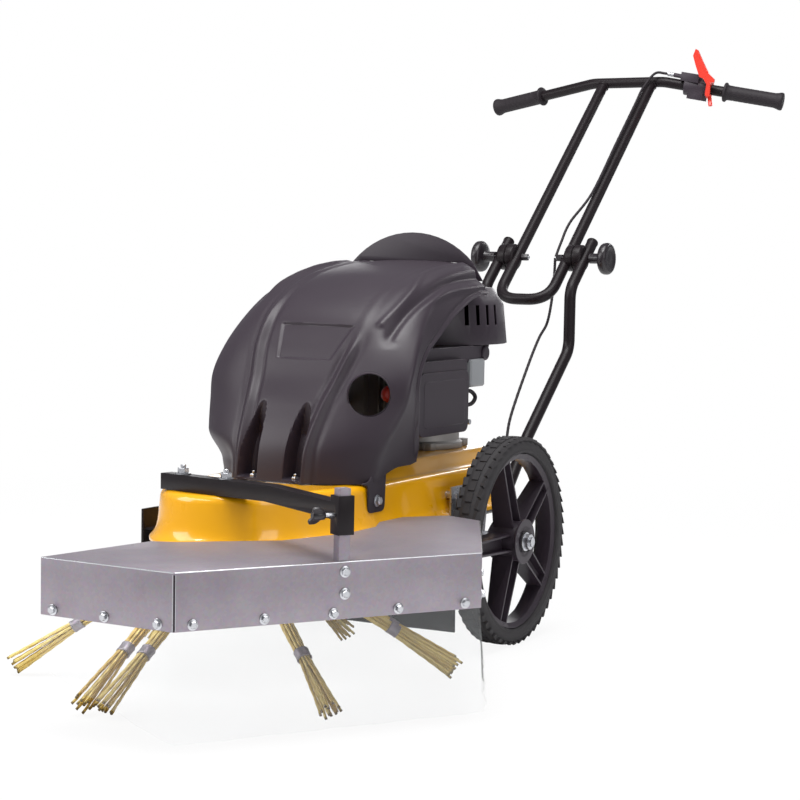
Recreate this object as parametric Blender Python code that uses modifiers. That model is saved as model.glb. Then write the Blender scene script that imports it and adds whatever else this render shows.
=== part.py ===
"""Walk-behind petrol weed brush: wire brush rotor, adjustable guard, engine, two wheels, handle.

It is drawn with its origin on the ground under the middle of the wheel axle: +X is the operator's
left, -Y is forward (the brush end) and +Z is up. At the end the whole machine is moved so that the
origin is under the middle of its bounding box. All sizes are in metres.
"""
import math
import random

import bmesh
import bpy
from mathutils import Matrix, Vector

# clearances
GAP = 0.0003
BOLT_PLAY = 0.0004

# sheet and tube stock
SHEET = 0.002
HOOD_WALL = 0.0028
HOOD_LIFT = 0.0012
TUBE_R = 0.011
BOLT_R = 0.004

# wheels and axle
WHEEL_R = 0.175
TYRE_WIDTH = 0.046
TYRE_DEPTH = 0.028
WHEEL_X = 0.227
AXLE_R = 0.008
HUB_WIDTH = 0.060
HUB_R = 0.034
SPOKES = 5
WHEEL_STEPS = 32

# brush
BRUSH_Y = -0.483
BRUSH_R = 0.343
TUFT_TOP = 0.192469
TUFTS = [(33, -0.0185), (33, 0.0185), (90, 0), (150, 0), (210, 0), (267.5, -0.0185), (267.5, 0.0185),
         (327, 0)]
STRAND_RINGS = [(3, 0.0027), (9, 0.0078)]
STRAND_R = 0.0021
STRAND_SIDES = 5
BUNDLE_R = 0.0078
WAIST_AT = 0.52
SOCKET_WALL = 0.003
SOCKET_START = 0.066
SOCKET_END = 0.114
DISC_Z = 0.174
DISC_T = 0.008
HUB_DROP = 0.010
ROOT_R = BUNDLE_R + STRAND_R + 0.0026
ROOT_LENGTH = 0.012
SOCKET_SIDES = 10
TIP_SPREAD = 2.0
FLOOR_CUT = 0.0005

# deck and base plate
LOBE_R = 0.118
DECK_HALF = 0.146
DECK_WIDE_Y = -0.335
DECK_REAR_Y = 0.200
DECK_CORNER = 0.045
FLANGE = 0.014
FLANGE_Z = 0.2205
LIP = 0.006
LOBE_TOP = 0.2925
DECK_TOP = 0.314
RAMP_FRONT = -0.345
RAMP_BACK = -0.255
PLATE_T = 0.003

# engine
ENGINE_Y = 0.080
CRANK_R = 0.0125
CASE_R = 0.078
BLOWER_R = 0.158
BLOWER_Z = 0.4985
BLOWER_TOP = 0.600

# guard: its outer corners as an angle round the brush and a distance outside it, and its inner edge
GUARD_TOP = 0.237
GUARD_DEPTH = 0.078
GUARD_CORNERS = [(-94.00019, 0.087048), (-66.06185, 0.135127), (-5.58164, 0.099096), (41.83188, 0.040839)]
GUARD_OUTER = [((BRUSH_R + away) * math.cos(math.radians(angle)),
                BRUSH_Y + (BRUSH_R + away) * math.sin(math.radians(angle))) for angle, away in GUARD_CORNERS]
GUARD_INNER = [(0.216, -0.202), (0.166, -0.262), (0.166, -0.335), (0.188, -0.385), (0.188, -0.473),
               (0.150, -0.591), (0.040, -0.690), (0.002, -0.708)]
SKIRT_BOTTOM = 0.012
SKIRT_TOP = 0.205
HEM_Z = GUARD_TOP - GUARD_DEPTH - 0.002
SKIRT_CORNER = 0.088
SKIRT_FLARE = 0.013
POST_SIZE = 0.017
POST_AT = 0.535
POST_TOP = 0.336
POST_BOTTOM = 0.172
SLEEVE_WALL = 0.0035
SLEEVE_Z = (0.273, 0.326)
ARM_SIZE = 0.024
ARM_WALL = 0.002
ARM_PLUG = 0.0215
ARM_POINTS = [(-0.080, -0.555), (0.131, -0.591)]
ARM_BOLTS = [(-0.045, -0.561), (0.042, -0.5757)]

# handle
PIVOT = (0.593, 0.647)
HANDLE_SLOPE = math.radians(42.2)
LEG_X = 0.055
LOWER_X = 0.091
BAR_Y = 1.005
BAR_Z = 1.021
BAR_STRAIGHT = 0.080
BAR_END = (0.330, 1.044, 0.977)
GRIP_LENGTH = 0.126
GRIP_R = 0.0155

# hood stations: centre (y, z), ridge half width, corner (x, y, z), rim (x, y, z)
HOOD = [
    ((-0.395, 0.2937), 0.062, (0.148, -0.298, 0.2937), (0.156, -0.195, 0.3190)),
    ((-0.385, 0.3500), 0.064, (0.166, -0.312, 0.3500), (0.167, -0.215, 0.3520)),
    ((-0.353, 0.4100), 0.071, (0.183, -0.292, 0.4100), (0.180, -0.240, 0.4120)),
    ((-0.322, 0.4550), 0.080, (0.187, -0.278, 0.4550), (0.182, -0.242, 0.4550)),
    ((-0.292, 0.5050), 0.091, (0.181, -0.246, 0.5030), (0.178, -0.212, 0.4920)),
    ((-0.256, 0.5530), 0.093, (0.171, -0.204, 0.5450), (0.173, -0.158, 0.5220)),
    ((-0.203, 0.5890), 0.093, (0.162, -0.152, 0.5800), (0.171, -0.112, 0.5480)),
    ((-0.145, 0.6120), 0.093, (0.156, -0.105, 0.6020), (0.169, -0.068, 0.5660)),
    ((-0.085, 0.6260), 0.093, (0.153, -0.058, 0.6140), (0.167, -0.032, 0.5780)),
    ((-0.010, 0.6360), 0.093, (0.151, 0.000, 0.6180), (0.165, 0.010, 0.5840)),
    ((0.058, 0.6400), 0.093, (0.149, 0.058, 0.6160), (0.163, 0.058, 0.5840)),
]
HOOD_ROWS = 11
ARCH_START = 0.42
ARCH_DEPTH = 0.007
POCKET_AT = 0.64
POCKET_HALF = 0.25
POCKET_TOP = 0.418
POCKET_DEPTH = 0.016
HOLE_R = 0.033
HOLE_CENTRE = Vector((0.138, -0.298, 0.432))
HOLE_NORMAL = Vector((0.573, -0.82, 0.0)).normalized()

# deck underside and the boss for the cable
CABLE_BOSS = (0.085, DECK_REAR_Y + 0.008, 0.262)
BASE_Z = FLANGE_Z - LIP - GAP

# spindle, pulleys and belt
HOUSING_R = 0.0330
HOUSING_LOW = 0.1840
BEARING_R = 0.0235
BEARING_WIDTH = 0.030
SHAFT_R = 0.0125
PULLEY_Z = 0.262
BRUSH_PULLEY_R = 0.080
CRANK_PULLEY_R = 0.040
BELT_HALF = 0.005
BELT_DEPTH = 0.009

# rear flap
FLAP_HALF = 0.193
FLAP_T = 0.005
FLAP_Y = BRUSH_Y + BRUSH_R + 0.009

# cylinder, filter cover and primer bulb
CYL_FRONT = -0.150
CYL_Z = (0.352, 0.462)
CYL_HALF = 0.052
PLUG_Z = 0.407
FILTER_REAR = -0.028
FILTER_FRONT = -0.200
BULB_R = 0.014
BULB_TRAVEL = 0.006
BULB_LENGTH = 0.016
BULB_AT = HOLE_CENTRE - HOLE_NORMAL * 0.028 + Vector((0.019, 0.013, -0.003))

# axle brackets and the handle's pivots
BRACKET_X = DECK_HALF + FLANGE + 0.0010
ROSETTE_GAP = 0.0065
ROSETTE_R = 0.0260
KNOB_R = 0.0300
CLAMP_NUT = 0.012

# lever blade's outline, along the bar and upwards from the ring's middle, and its distance before it
LEVER_OUTLINE = [(-0.0020, -0.012), (0.0080, -0.0125), (0.0060, 0.0040), (0.0042, 0.0170), (0.0125, 0.0178),
                 (0.0120, 0.0240), (-0.0005, 0.0325), (-0.0180, 0.0565), (-0.0320, 0.0775), (-0.0380, 0.0795),
                 (-0.0410, 0.0655), (-0.0330, 0.0480), (-0.0205, 0.0245), (-0.0120, 0.0225), (-0.0030, 0.0120)]
LEVER_FRONT = 0.0215

# cables
CABLE_R = 0.0028
CABLE_X = LEG_X - TUBE_R - CLAMP_NUT - CABLE_R - 0.0017

PARTS = None
CUTTERS = None
MATERIALS = {}


def clear_scene():
    for obj in list(bpy.data.objects):
        bpy.data.objects.remove(obj, do_unlink=True)


def new_collection(name):
    made = bpy.data.collections.new(name)
    bpy.context.scene.collection.children.link(made)
    return made


def material(name, colour, roughness, metallic=0.0, alpha=1.0):
    made = bpy.data.materials.new(name)
    made.use_nodes = True
    shader = made.node_tree.nodes["Principled BSDF"]
    shader.inputs["Base Color"].default_value = (*colour, 1.0)
    shader.inputs["Roughness"].default_value = roughness
    shader.inputs["Metallic"].default_value = metallic
    shader.inputs["Alpha"].default_value = alpha
    MATERIALS[name] = made


def make_materials():
    material("yellow_paint", (0.92, 0.47, 0.01), 0.25)
    material("black_plastic", (0.045, 0.040, 0.043), 0.55)
    material("black_paint", (0.020, 0.020, 0.022), 0.40)
    material("rubber", (0.018, 0.018, 0.018), 0.80)
    material("zinc", (0.60, 0.61, 0.62), 0.35, 1.0)
    material("guard_sheet", (0.45, 0.45, 0.47), 0.45, 1.0)
    material("cast_aluminium", (0.40, 0.39, 0.38), 0.50, 1.0)
    material("steel", (0.50, 0.50, 0.50), 0.35, 1.0)
    material("clear_film", (0.90, 0.92, 0.92), 0.15, 0.0, 0.25)
    material("coated_wire", (0.62, 0.50, 0.10), 0.50)
    material("red_plastic", (0.75, 0.05, 0.03), 0.35)
    material("grey_plastic", (0.40, 0.41, 0.42), 0.50)


def add(name, mesh, finish, hidden=False):
    obj = bpy.data.objects.new(name, mesh)
    if hidden:
        CUTTERS.objects.link(obj)
        obj.hide_render = True
        obj.display_type = "WIRE"
    else:
        PARTS.objects.link(obj)
    if finish:
        mesh.materials.clear()
        mesh.materials.append(MATERIALS[finish])
    return obj


def shade(obj, angle=35):
    obj.data.shade_smooth()
    obj.data.set_sharp_from_angle(angle=math.radians(angle))
    return obj


def from_bmesh(name, bm, finish, hidden=False):
    mesh = bpy.data.meshes.new(name)
    bm.to_mesh(mesh)
    bm.free()
    return add(name, mesh, finish, hidden)


def bevel(obj, width, segments=2, angle=40):
    mod = obj.modifiers.new("Rounded edges", "BEVEL")
    mod.width = width
    mod.segments = segments
    mod.limit_method = "ANGLE"
    mod.angle_limit = math.radians(angle)
    return obj


def boolean(obj, other, operation="DIFFERENCE"):
    mod = obj.modifiers.new(operation.title(), "BOOLEAN")
    mod.operation = operation
    mod.solver = "EXACT"
    mod.object = other
    return obj


def cut(obj, *others):
    for other in others:
        boolean(obj, other)
    return obj


def join(obj, *others):
    for other in others:
        boolean(obj, other, "UNION")
    return obj


def box(name, low, high, finish=None, turn=None, hidden=False):
    """A box from its low corner to its high corner, turned about its own centre."""
    low, high = Vector(low), Vector(high)
    size = high - low
    bm = bmesh.new()
    bmesh.ops.create_cube(bm, size=1.0, matrix=Matrix.Diagonal((*size, 1.0)))
    obj = from_bmesh(name, bm, finish, hidden)
    obj.location = (low + high) / 2
    if turn:
        obj.rotation_euler = turn
    return obj


def aim(obj, start, direction):
    """Moves an object so that its local Z runs along the direction from the start point."""
    obj.location = start
    obj.rotation_euler = Vector(direction).to_track_quat("Z", "Y").to_euler()
    return obj


def rod(name, start, end, radius, finish=None, sides=16, hidden=False, end_radius=None):
    """A cylinder, or a cone with an end radius, between two points."""
    start, end = Vector(start), Vector(end)
    length = (end - start).length
    bm = bmesh.new()
    shift = Matrix.Translation((0, 0, length / 2))
    top = radius if end_radius is None else end_radius
    bmesh.ops.create_cone(bm, cap_ends=True, segments=sides, radius1=radius, radius2=top,
                          depth=length, matrix=shift)
    obj = from_bmesh(name, bm, finish, hidden)
    return aim(obj, start, end - start)


def turned(name, profile, origin, axis, finish=None, steps=24, closed=False, hidden=False):
    """A profile of (radius, height) points turned about the axis, outer side listed downwards."""
    bm = bmesh.new()
    points = [bm.verts.new((r, 0.0, h)) for r, h in profile]
    for first, second in zip(points, points[1:]):
        bm.edges.new((first, second))
    if closed:
        bm.edges.new((points[-1], points[0]))
    obj = from_bmesh(name, bm, finish, hidden)
    mod = obj.modifiers.new("Turned", "SCREW")
    mod.steps = steps
    mod.render_steps = steps
    mod.use_merge_vertices = True
    mod.merge_threshold = 0.00001
    mod.use_smooth_shade = True
    return aim(obj, origin, axis)


def plate(name, outline, low, high, finish=None, holes=(), hidden=False):
    """A flat outline with holes, as a filled 2D curve between two heights."""
    curve = bpy.data.curves.new(name, "CURVE")
    curve.dimensions = "2D"
    curve.fill_mode = "BOTH"
    curve.extrude = (high - low) / 2
    for ring in (outline, *holes):
        spline = curve.splines.new("POLY")
        spline.points.add(len(ring) - 1)
        for point, (x, y) in zip(spline.points, ring):
            point.co = (x, y, 0.0, 1.0)
        spline.use_cyclic_u = True
    return curve_solid(name, curve, finish, (0, 0, (low + high) / 2), hidden)


def curve_solid(name, curve, finish, location=(0, 0, 0), hidden=False):
    """Makes a mesh object of a curve, with its caps welded on."""
    guide = bpy.data.objects.new(name + "_guide", curve)
    bpy.context.scene.collection.objects.link(guide)
    guide.location = location
    bpy.context.view_layer.update()
    evaluated = guide.evaluated_get(bpy.context.evaluated_depsgraph_get())
    mesh = bpy.data.meshes.new_from_object(evaluated)
    mesh.name = name
    matrix = guide.matrix_world.copy()
    bpy.data.objects.remove(guide, do_unlink=True)
    bm = bmesh.new()
    bm.from_mesh(mesh)
    bmesh.ops.remove_doubles(bm, verts=bm.verts, dist=0.00001)
    bmesh.ops.recalc_face_normals(bm, faces=bm.faces)
    bm.to_mesh(mesh)
    bm.free()
    obj = add(name, mesh, finish, hidden)
    obj.matrix_world = matrix
    return obj


def tube(name, points, radius, finish=None, resolution=2, hidden=False, cyclic=False):
    """A round bar along a line of points."""
    curve = bpy.data.curves.new(name, "CURVE")
    curve.dimensions = "3D"
    curve.bevel_depth = radius
    curve.bevel_resolution = resolution
    curve.use_fill_caps = True
    spline = curve.splines.new("POLY")
    spline.points.add(len(points) - 1)
    for point, place in zip(spline.points, points):
        point.co = (*place, 1.0)
    spline.use_cyclic_u = cyclic
    return shade(curve_solid(name, curve, finish, hidden=hidden), 50)


def bent(points, radius, steps=5):
    """Rounds the inner corners of a line of points with arcs of the given radius."""
    points = [Vector(p) for p in points]
    path = [points[0]]
    for before, corner, after in zip(points, points[1:], points[2:]):
        back = (before - corner).normalized()
        ahead = (after - corner).normalized()
        half = back.angle(ahead) / 2
        reach = radius / math.tan(half)
        middle = corner + (back + ahead).normalized() * (radius / math.sin(half))
        first = corner + back * reach
        last = corner + ahead * reach
        for step in range(steps + 1):
            arm = (first - middle).slerp(last - middle, step / steps)
            path.append(middle + arm.normalized() * radius)
    path.append(points[-1])
    return path


def smooth_path(points, count):
    """Catmull-Rom points through the route's own points, evenly divided between them."""
    points = [Vector(p) for p in points]
    ends = [2 * points[0] - points[1], *points, 2 * points[-1] - points[-2]]
    path = []
    for k in range(1, len(ends) - 2):
        a, b, c, d = ends[k - 1:k + 3]
        for step in range(count):
            t = step / count
            path.append(0.5 * (2 * b + (c - a) * t + (2 * a - 5 * b + 4 * c - d) * t * t
                               + (3 * b - a - 3 * c + d) * t ** 3))
    path.append(points[-1])
    return path


def circle(radius, centre=(0, 0), count=24):
    return [(centre[0] + radius * math.cos(math.tau * k / count),
             centre[1] + radius * math.sin(math.tau * k / count)) for k in range(count)]


def ease(low, high, value):
    share = min(1.0, max(0.0, (value - low) / (high - low)))
    return share * share * (3 - 2 * share)


def offset_line(points, distance):
    """Moves an open line of 2D points sideways, to its left for a positive distance."""
    moved = []
    for k, point in enumerate(points):
        here = Vector(point)
        normals = []
        for a, b in ((k - 1, k), (k, k + 1)):
            if a >= 0 and b < len(points):
                run = (Vector(points[b]) - Vector(points[a])).normalized()
                normals.append(Vector((-run.y, run.x)))
        mean = sum(normals, Vector((0.0, 0.0))).normalized()
        moved.append(tuple(here + mean * (distance / mean.dot(normals[0]))))
    return moved


def hang(parent, *objects):
    """Parents objects to an empty and keeps them where they are."""
    for obj in objects:
        obj.parent = parent
        obj.matrix_parent_inverse = Matrix.Translation(parent.location).inverted()


def joint_empty(name, location):
    empty = bpy.data.objects.new(name, None)
    empty.location = location
    empty.empty_display_size = 0.05
    bpy.context.scene.collection.objects.link(empty)
    return empty


# Deck and base plate

def deck_line(grow):
    """Right half of the deck's outline, front to back, pushed outwards by a distance."""
    points = []
    lobe_steps, side_steps, corner_steps = 6, 4, 3
    for k in range(lobe_steps + 1):
        angle = math.pi / 2 * k / lobe_steps
        points.append((LOBE_R * math.sin(angle), BRUSH_Y - LOBE_R * math.cos(angle)))
    for k in range(1, side_steps + 1):
        y = BRUSH_Y + (DECK_WIDE_Y - BRUSH_Y) * k / side_steps
        points.append((LOBE_R + (DECK_HALF - LOBE_R) * ease(BRUSH_Y, DECK_WIDE_Y, y), y))
    middle = (DECK_HALF - DECK_CORNER, DECK_REAR_Y - DECK_CORNER)
    for k in range(corner_steps + 1):
        angle = math.pi / 2 * k / corner_steps
        points.append((middle[0] + DECK_CORNER * math.cos(angle), middle[1] + DECK_CORNER * math.sin(angle)))
    grown = []
    for k, (x, y) in enumerate(points):
        if k == 0:
            grown.append((0.0, y - grow))
            continue
        before = Vector(points[k - 1])
        after = Vector(points[min(k + 1, len(points) - 1)])
        run = (after - before).normalized()
        if k == len(points) - 1:
            run = Vector((-1.0, 0.0))
        grown.append((x + run.y * grow, y - run.x * grow))
    return grown


def deck_height(y):
    return LOBE_TOP + (DECK_TOP - LOBE_TOP) * ease(RAMP_FRONT, RAMP_BACK, y)


def deck():
    """Pressed sheet: an open loft from the turned-down lip up to the top, then thickened."""
    rounding = 0.008
    rings = [(FLANGE, lambda y: FLANGE_Z - LIP), (FLANGE, lambda y: FLANGE_Z), (0.001, lambda y: FLANGE_Z),
             (-0.002, lambda y: deck_height(y) - rounding),
             (-0.002 - 0.3 * rounding, lambda y: deck_height(y) - 0.3 * rounding),
             (-0.002 - rounding, deck_height)]
    bm = bmesh.new()
    rows = []
    for grow, height in rings:
        half = deck_line(grow)
        left = [bm.verts.new((x, y, height(y))) for x, y in half]
        right = [left[0]] + [bm.verts.new((-x, y, height(y))) for x, y in half[1:]]
        rows.append((left, right))
    for (low_l, low_r), (high_l, high_r) in zip(rows, rows[1:]):
        for k in range(len(low_l) - 1):
            bm.faces.new((low_l[k], low_l[k + 1], high_l[k + 1], high_l[k]))
            bm.faces.new((low_r[k + 1], low_r[k], high_r[k], high_r[k + 1]))
        bm.faces.new((low_l[-1], low_r[-1], high_r[-1], high_l[-1]))
    top_l, top_r = rows[-1]
    bm.faces.new((top_l[0], top_l[1], top_r[1]))
    for k in range(1, len(top_l) - 1):
        bm.faces.new((top_l[k], top_l[k + 1], top_r[k + 1], top_r[k]))
    bmesh.ops.recalc_face_normals(bm, faces=bm.faces)
    top = max(bm.faces, key=lambda f: f.calc_center_median().z)
    if top.normal.z < 0:
        bmesh.ops.reverse_faces(bm, faces=bm.faces)
    obj = from_bmesh("deck", bm, "yellow_paint")
    mod = obj.modifiers.new("Sheet", "SOLIDIFY")
    mod.thickness = SHEET
    mod.offset = -1.0
    shade(obj, 50)
    crank_hole = rod("cut_deck_crank", (0, ENGINE_Y, 0.25), (0, ENGINE_Y, 0.35), CRANK_R + 0.006, hidden=True)
    cut(obj, crank_hole)
    for k, (x, y) in enumerate(ARM_BOLTS):
        cut(obj, rod(f"cut_deck_bolt_{k}", (x, y, 0.27), (x, y, 0.31), BOLT_R + BOLT_PLAY, sides=12, hidden=True))
    x, y, z = CABLE_BOSS
    return join(obj, rod("cable_boss", (x, DECK_REAR_Y - SHEET - 0.001, z), (x, y, z), 0.007, sides=12, hidden=True))


def base_plate():
    """Black plate that closes the deck from below and carries the spindle housing."""
    half = deck_line(FLANGE - 0.001)
    outline = half + [(-x, y) for x, y in reversed(half[1:])]
    hole = circle(HOUSING_R + 3 * GAP, (0, BRUSH_Y), 20)
    crank = circle(0.045, (0, ENGINE_Y), 16)
    obj = plate("base_plate", outline, BASE_Z - PLATE_T, BASE_Z, "black_paint", (hole, crank))
    wing = box("wing", (-0.188, -0.470, BASE_Z - 0.028), (-0.184, -0.420, BASE_Z + 0.030), hidden=True)
    arm = box("wing_arm", (-0.186, -0.465, BASE_Z - PLATE_T + 0.0002), (-0.110, -0.425, BASE_Z - 0.0002),
              hidden=True)
    return join(obj, arm, wing)


def spindle_housing():
    """Flanged bearing housing, set through the base plate."""
    top = BASE_Z + 0.024
    flange = BASE_Z + GAP
    profile = [(HOUSING_R, top), (HOUSING_R, flange + 0.007),
               (0.052, flange + 0.006), (0.052, flange), (HOUSING_R, flange), (HOUSING_R, HOUSING_LOW),
               (SHAFT_R + 0.002, HOUSING_LOW), (SHAFT_R + 0.002, HOUSING_LOW + 0.004),
               (BEARING_R + GAP, HOUSING_LOW + 0.004), (BEARING_R + GAP, top)]
    return shade(turned("spindle_housing", profile, (0, BRUSH_Y, 0), (0, 0, 1), "cast_aluminium", 16, True))


def spindle_bearing():
    """Sealed double row bearing between the housing and the spindle."""
    low = HOUSING_LOW + 0.004 + GAP
    high = low + BEARING_WIDTH
    inner = SHAFT_R + GAP
    profile = [(BEARING_R, high), (BEARING_R, low), (inner, low), (inner, high)]
    return shade(turned("spindle_bearing", profile, (0, BRUSH_Y, 0), (0, 0, 1), "steel", 16, True))


def pulley_profile(radius, bore):
    """Grooved rim, hub and bore. The groove is the belt's section with a gap."""
    side = BELT_HALF + GAP
    root = radius - BELT_DEPTH - 0.0016
    low, high = -side - 0.003, side + 0.003
    return [(radius, high), (radius, side + 0.0005), (root, side - 0.0015), (root, -side + 0.0015),
            (radius, -side - 0.0005), (radius, low), (bore, low), (bore, high)]


def brush_pulley():
    profile = pulley_profile(BRUSH_PULLEY_R, SHAFT_R + GAP)
    return shade(turned("brush_pulley", profile, (0, BRUSH_Y, PULLEY_Z), (0, 0, 1), "cast_aluminium", 20, True))


def crank_pulley():
    """Crankshaft end with its drive pulley, keyed and bolted together below the deck."""
    side = BELT_HALF + GAP + 0.003
    grooved = pulley_profile(CRANK_PULLEY_R, CRANK_R)[:-2]
    top = DECK_TOP + 0.004 - GAP
    profile = [(0.0, top - PULLEY_Z), (CRANK_R, top - PULLEY_Z), (CRANK_R, side), *grooved,
               (0.014, -side), (0.014, -side - 0.006), (0.0, -side - 0.006)]
    return shade(turned("crank_pulley", profile, (0, ENGINE_Y, PULLEY_Z), (0, 0, 1), "steel", 16))


def drive_belt():
    """V-belt, as a ring between its inner and outer outlines."""
    def ring(grow, count=12):
        big = BRUSH_PULLEY_R + grow
        small = CRANK_PULLEY_R + grow
        lean = math.asin((big - small) / (ENGINE_Y - BRUSH_Y))
        points = []
        for k in range(count + 1):
            angle = math.pi - lean + (math.pi + 2 * lean) * k / count
            points.append((big * math.cos(angle), BRUSH_Y + big * math.sin(angle)))
        for k in range(count + 1):
            angle = lean + (math.pi - 2 * lean) * k / count
            points.append((small * math.cos(angle), ENGINE_Y + small * math.sin(angle)))
        return points
    half = BELT_HALF - 0.0018
    obj = plate("drive_belt", ring(0.0), PULLEY_Z - half, PULLEY_Z + half, "rubber", (ring(-BELT_DEPTH),))
    return obj


def rear_flap():
    """Rubber flap between the wheels, hung from the base plate's rear part."""
    top = BASE_Z - PLATE_T - GAP
    return box("rear_flap", (-FLAP_HALF, FLAP_Y, 0.034), (FLAP_HALF, FLAP_Y + FLAP_T, top), "rubber")


# Engine

def crankcase():
    """Turned case with four mounting lugs on the deck."""
    foot = DECK_TOP + GAP
    profile = [(0.0, BLOWER_Z - GAP), (0.118, BLOWER_Z - GAP), (0.118, BLOWER_Z - 0.012),
               (0.090, BLOWER_Z - 0.030), (0.084, 0.420), (CASE_R, 0.400), (CASE_R, foot + 0.014),
               (CASE_R + 0.006, foot + 0.010), (CASE_R + 0.006, foot), (0.017, foot),
               (0.017, foot + 0.010), (0.0, foot + 0.010)]
    obj = shade(turned("crankcase", profile, (0, ENGINE_Y, 0), (0, 0, 1), "cast_aluminium", 22))
    for k in range(4):
        angle = math.radians(45 + 90 * k)
        x = 0.086 * math.cos(angle)
        y = ENGINE_Y + 0.086 * math.sin(angle)
        join(obj, rod(f"case_lug_{k}", (x, y, foot + 0.0001), (x, y, foot + 0.012), 0.012, sides=8, hidden=True))
    cut(obj, cylinder_cutter())
    return obj


def cylinder_cutter():
    low, high = CYL_Z
    grow = GAP
    return box("cut_case_cylinder", (-0.040 - grow, CYL_FRONT, low + 0.018 - grow),
               (0.040 + grow, ENGINE_Y - 0.060, high - 0.018 + grow), hidden=True)


def cylinder():
    """Finned cylinder lying forwards from the case, with its head and spark plug boss."""
    low, high = CYL_Z
    core = box("cylinder", (-0.040, CYL_FRONT + 0.020, low + 0.018), (0.040, ENGINE_Y - 0.0603, high - 0.018),
               "cast_aluminium")
    fins = 6
    pitch = 0.0185
    for k in range(fins):
        y = CYL_FRONT + 0.004 + pitch * k
        fin = box(f"fin_{k}", (-CYL_HALF, y, low), (CYL_HALF, y + 0.005, high), hidden=True)
        join(core, fin)
    head = box("cyl_head", (-0.034, CYL_FRONT - 0.012, low + 0.012), (0.034, CYL_FRONT + 0.024, high - 0.012),
               hidden=True)
    join(core, head)
    plug = rod("cut_plug", (0, CYL_FRONT - 0.02, PLUG_Z), (0, CYL_FRONT + 0.004, PLUG_Z), 0.0073, sides=14,
               hidden=True)
    return cut(core, plug)


def spark_plug():
    """Spark plug with its rubber cap, screwed into the head."""
    base = CYL_FRONT + 0.004 - GAP
    profile = [(0.0, 0.075), (0.008, 0.074), (0.010, 0.068), (0.010, 0.034), (0.0105, 0.0305),
               (0.0105, 0.0195), (0.007, 0.0190), (0.007, 0.0), (0.0, 0.0)]
    return shade(turned("spark_plug", profile, (0, base, PLUG_Z), (0, -1, 0), "black_plastic", 14))


def blower_cover():
    """Turned engine shroud with an inner foot on the flywheel plate and slots in its near side."""
    wall = 0.0025
    foot = 0.108
    profile = [(0.060, BLOWER_TOP), (0.132, BLOWER_TOP - 0.006), (0.151, BLOWER_TOP - 0.034),
               (BLOWER_R, BLOWER_Z), (foot, BLOWER_Z), (foot, BLOWER_Z + wall), (BLOWER_R - wall, BLOWER_Z + wall),
               (0.151 - wall, BLOWER_TOP - 0.035), (0.131, BLOWER_TOP - 0.006 - wall), (0.060, BLOWER_TOP - wall)]
    obj = shade(turned("blower_cover", profile, (0, ENGINE_Y, 0), (0, 0, 1), "black_plastic", 28, True))
    for k in range(4):
        angle = math.radians(-28 + 9.5 * k)
        middle = Vector((0.152 * math.cos(angle), ENGINE_Y + 0.152 * math.sin(angle), 0.549))
        half = Vector((0.015, 0.004, 0.017))
        cut(obj, box(f"cut_slot_{k}", middle - half, middle + half, turn=(0, 0, angle), hidden=True))
    return obj


def recoil_starter():
    """Starter housing on the shroud, with slots round its side and a rope outlet to the rear."""
    low = BLOWER_TOP + GAP
    profile = [(0.0, low + 0.034), (0.060, low + 0.033), (0.078, low + 0.027), (0.086, low + 0.012),
               (0.088, low), (0.0, low)]
    obj = shade(turned("recoil_starter", profile, (0, ENGINE_Y, 0), (0, 0, 1), "black_plastic", 20))
    for k in range(6):
        angle = math.radians(60 * k + 30)
        middle = Vector((0.066 * math.cos(angle), ENGINE_Y + 0.066 * math.sin(angle), low + 0.034))
        cut(obj, box(f"cut_vent_{k}", middle - Vector((0.012, 0.003, 0.006)), middle + Vector((0.012, 0.003, 0.006)),
                     turn=(0, 0, angle), hidden=True))
    boss = rod("starter_outlet", (0, ENGINE_Y + 0.070, low + 0.014), (0, ENGINE_Y + 0.104, low + 0.014), 0.011,
               sides=20, hidden=True)
    bore = rod("cut_outlet", (0, ENGINE_Y + 0.092, low + 0.014), (0, ENGINE_Y + 0.11, low + 0.014), 0.0045,
               sides=14, hidden=True)
    return cut(join(obj, boss), bore)


def starter_grip():
    """T grip with the first of its rope, resting on the outlet."""
    z = BLOWER_TOP + GAP + 0.014
    y = ENGINE_Y + 0.104 + GAP
    bar = rod("starter_grip", (-0.034, y + 0.014, z), (0.034, y + 0.014, z), 0.009, "black_plastic", 12)
    neck = rod("grip_neck", (0, y, z), (0, y + 0.014, z), 0.010, sides=12, hidden=True, end_radius=0.008)
    rope = rod("grip_rope", (0, y - 0.010, z), (0, y + 0.010, z), 0.0028, sides=10, hidden=True)
    return join(bar, neck, rope)


def fuel_tank():
    """Tank on the far side of the engine, with its filler cap."""
    obj = box("fuel_tank", (-0.212, -0.012, 0.385), (-0.1265, 0.150, 0.4865), "black_plastic")
    bevel(obj, 0.014, 2)
    cap = rod("tank_cap", (-0.190, 0.030, 0.480), (-0.190, 0.030, 0.506), 0.020, hidden=True)
    bracket = box("tank_bracket", (-0.135, 0.072, 0.430), (-0.0867, 0.088, 0.440), hidden=True)
    shade(obj, 40)
    return join(obj, cap, bracket)


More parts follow.
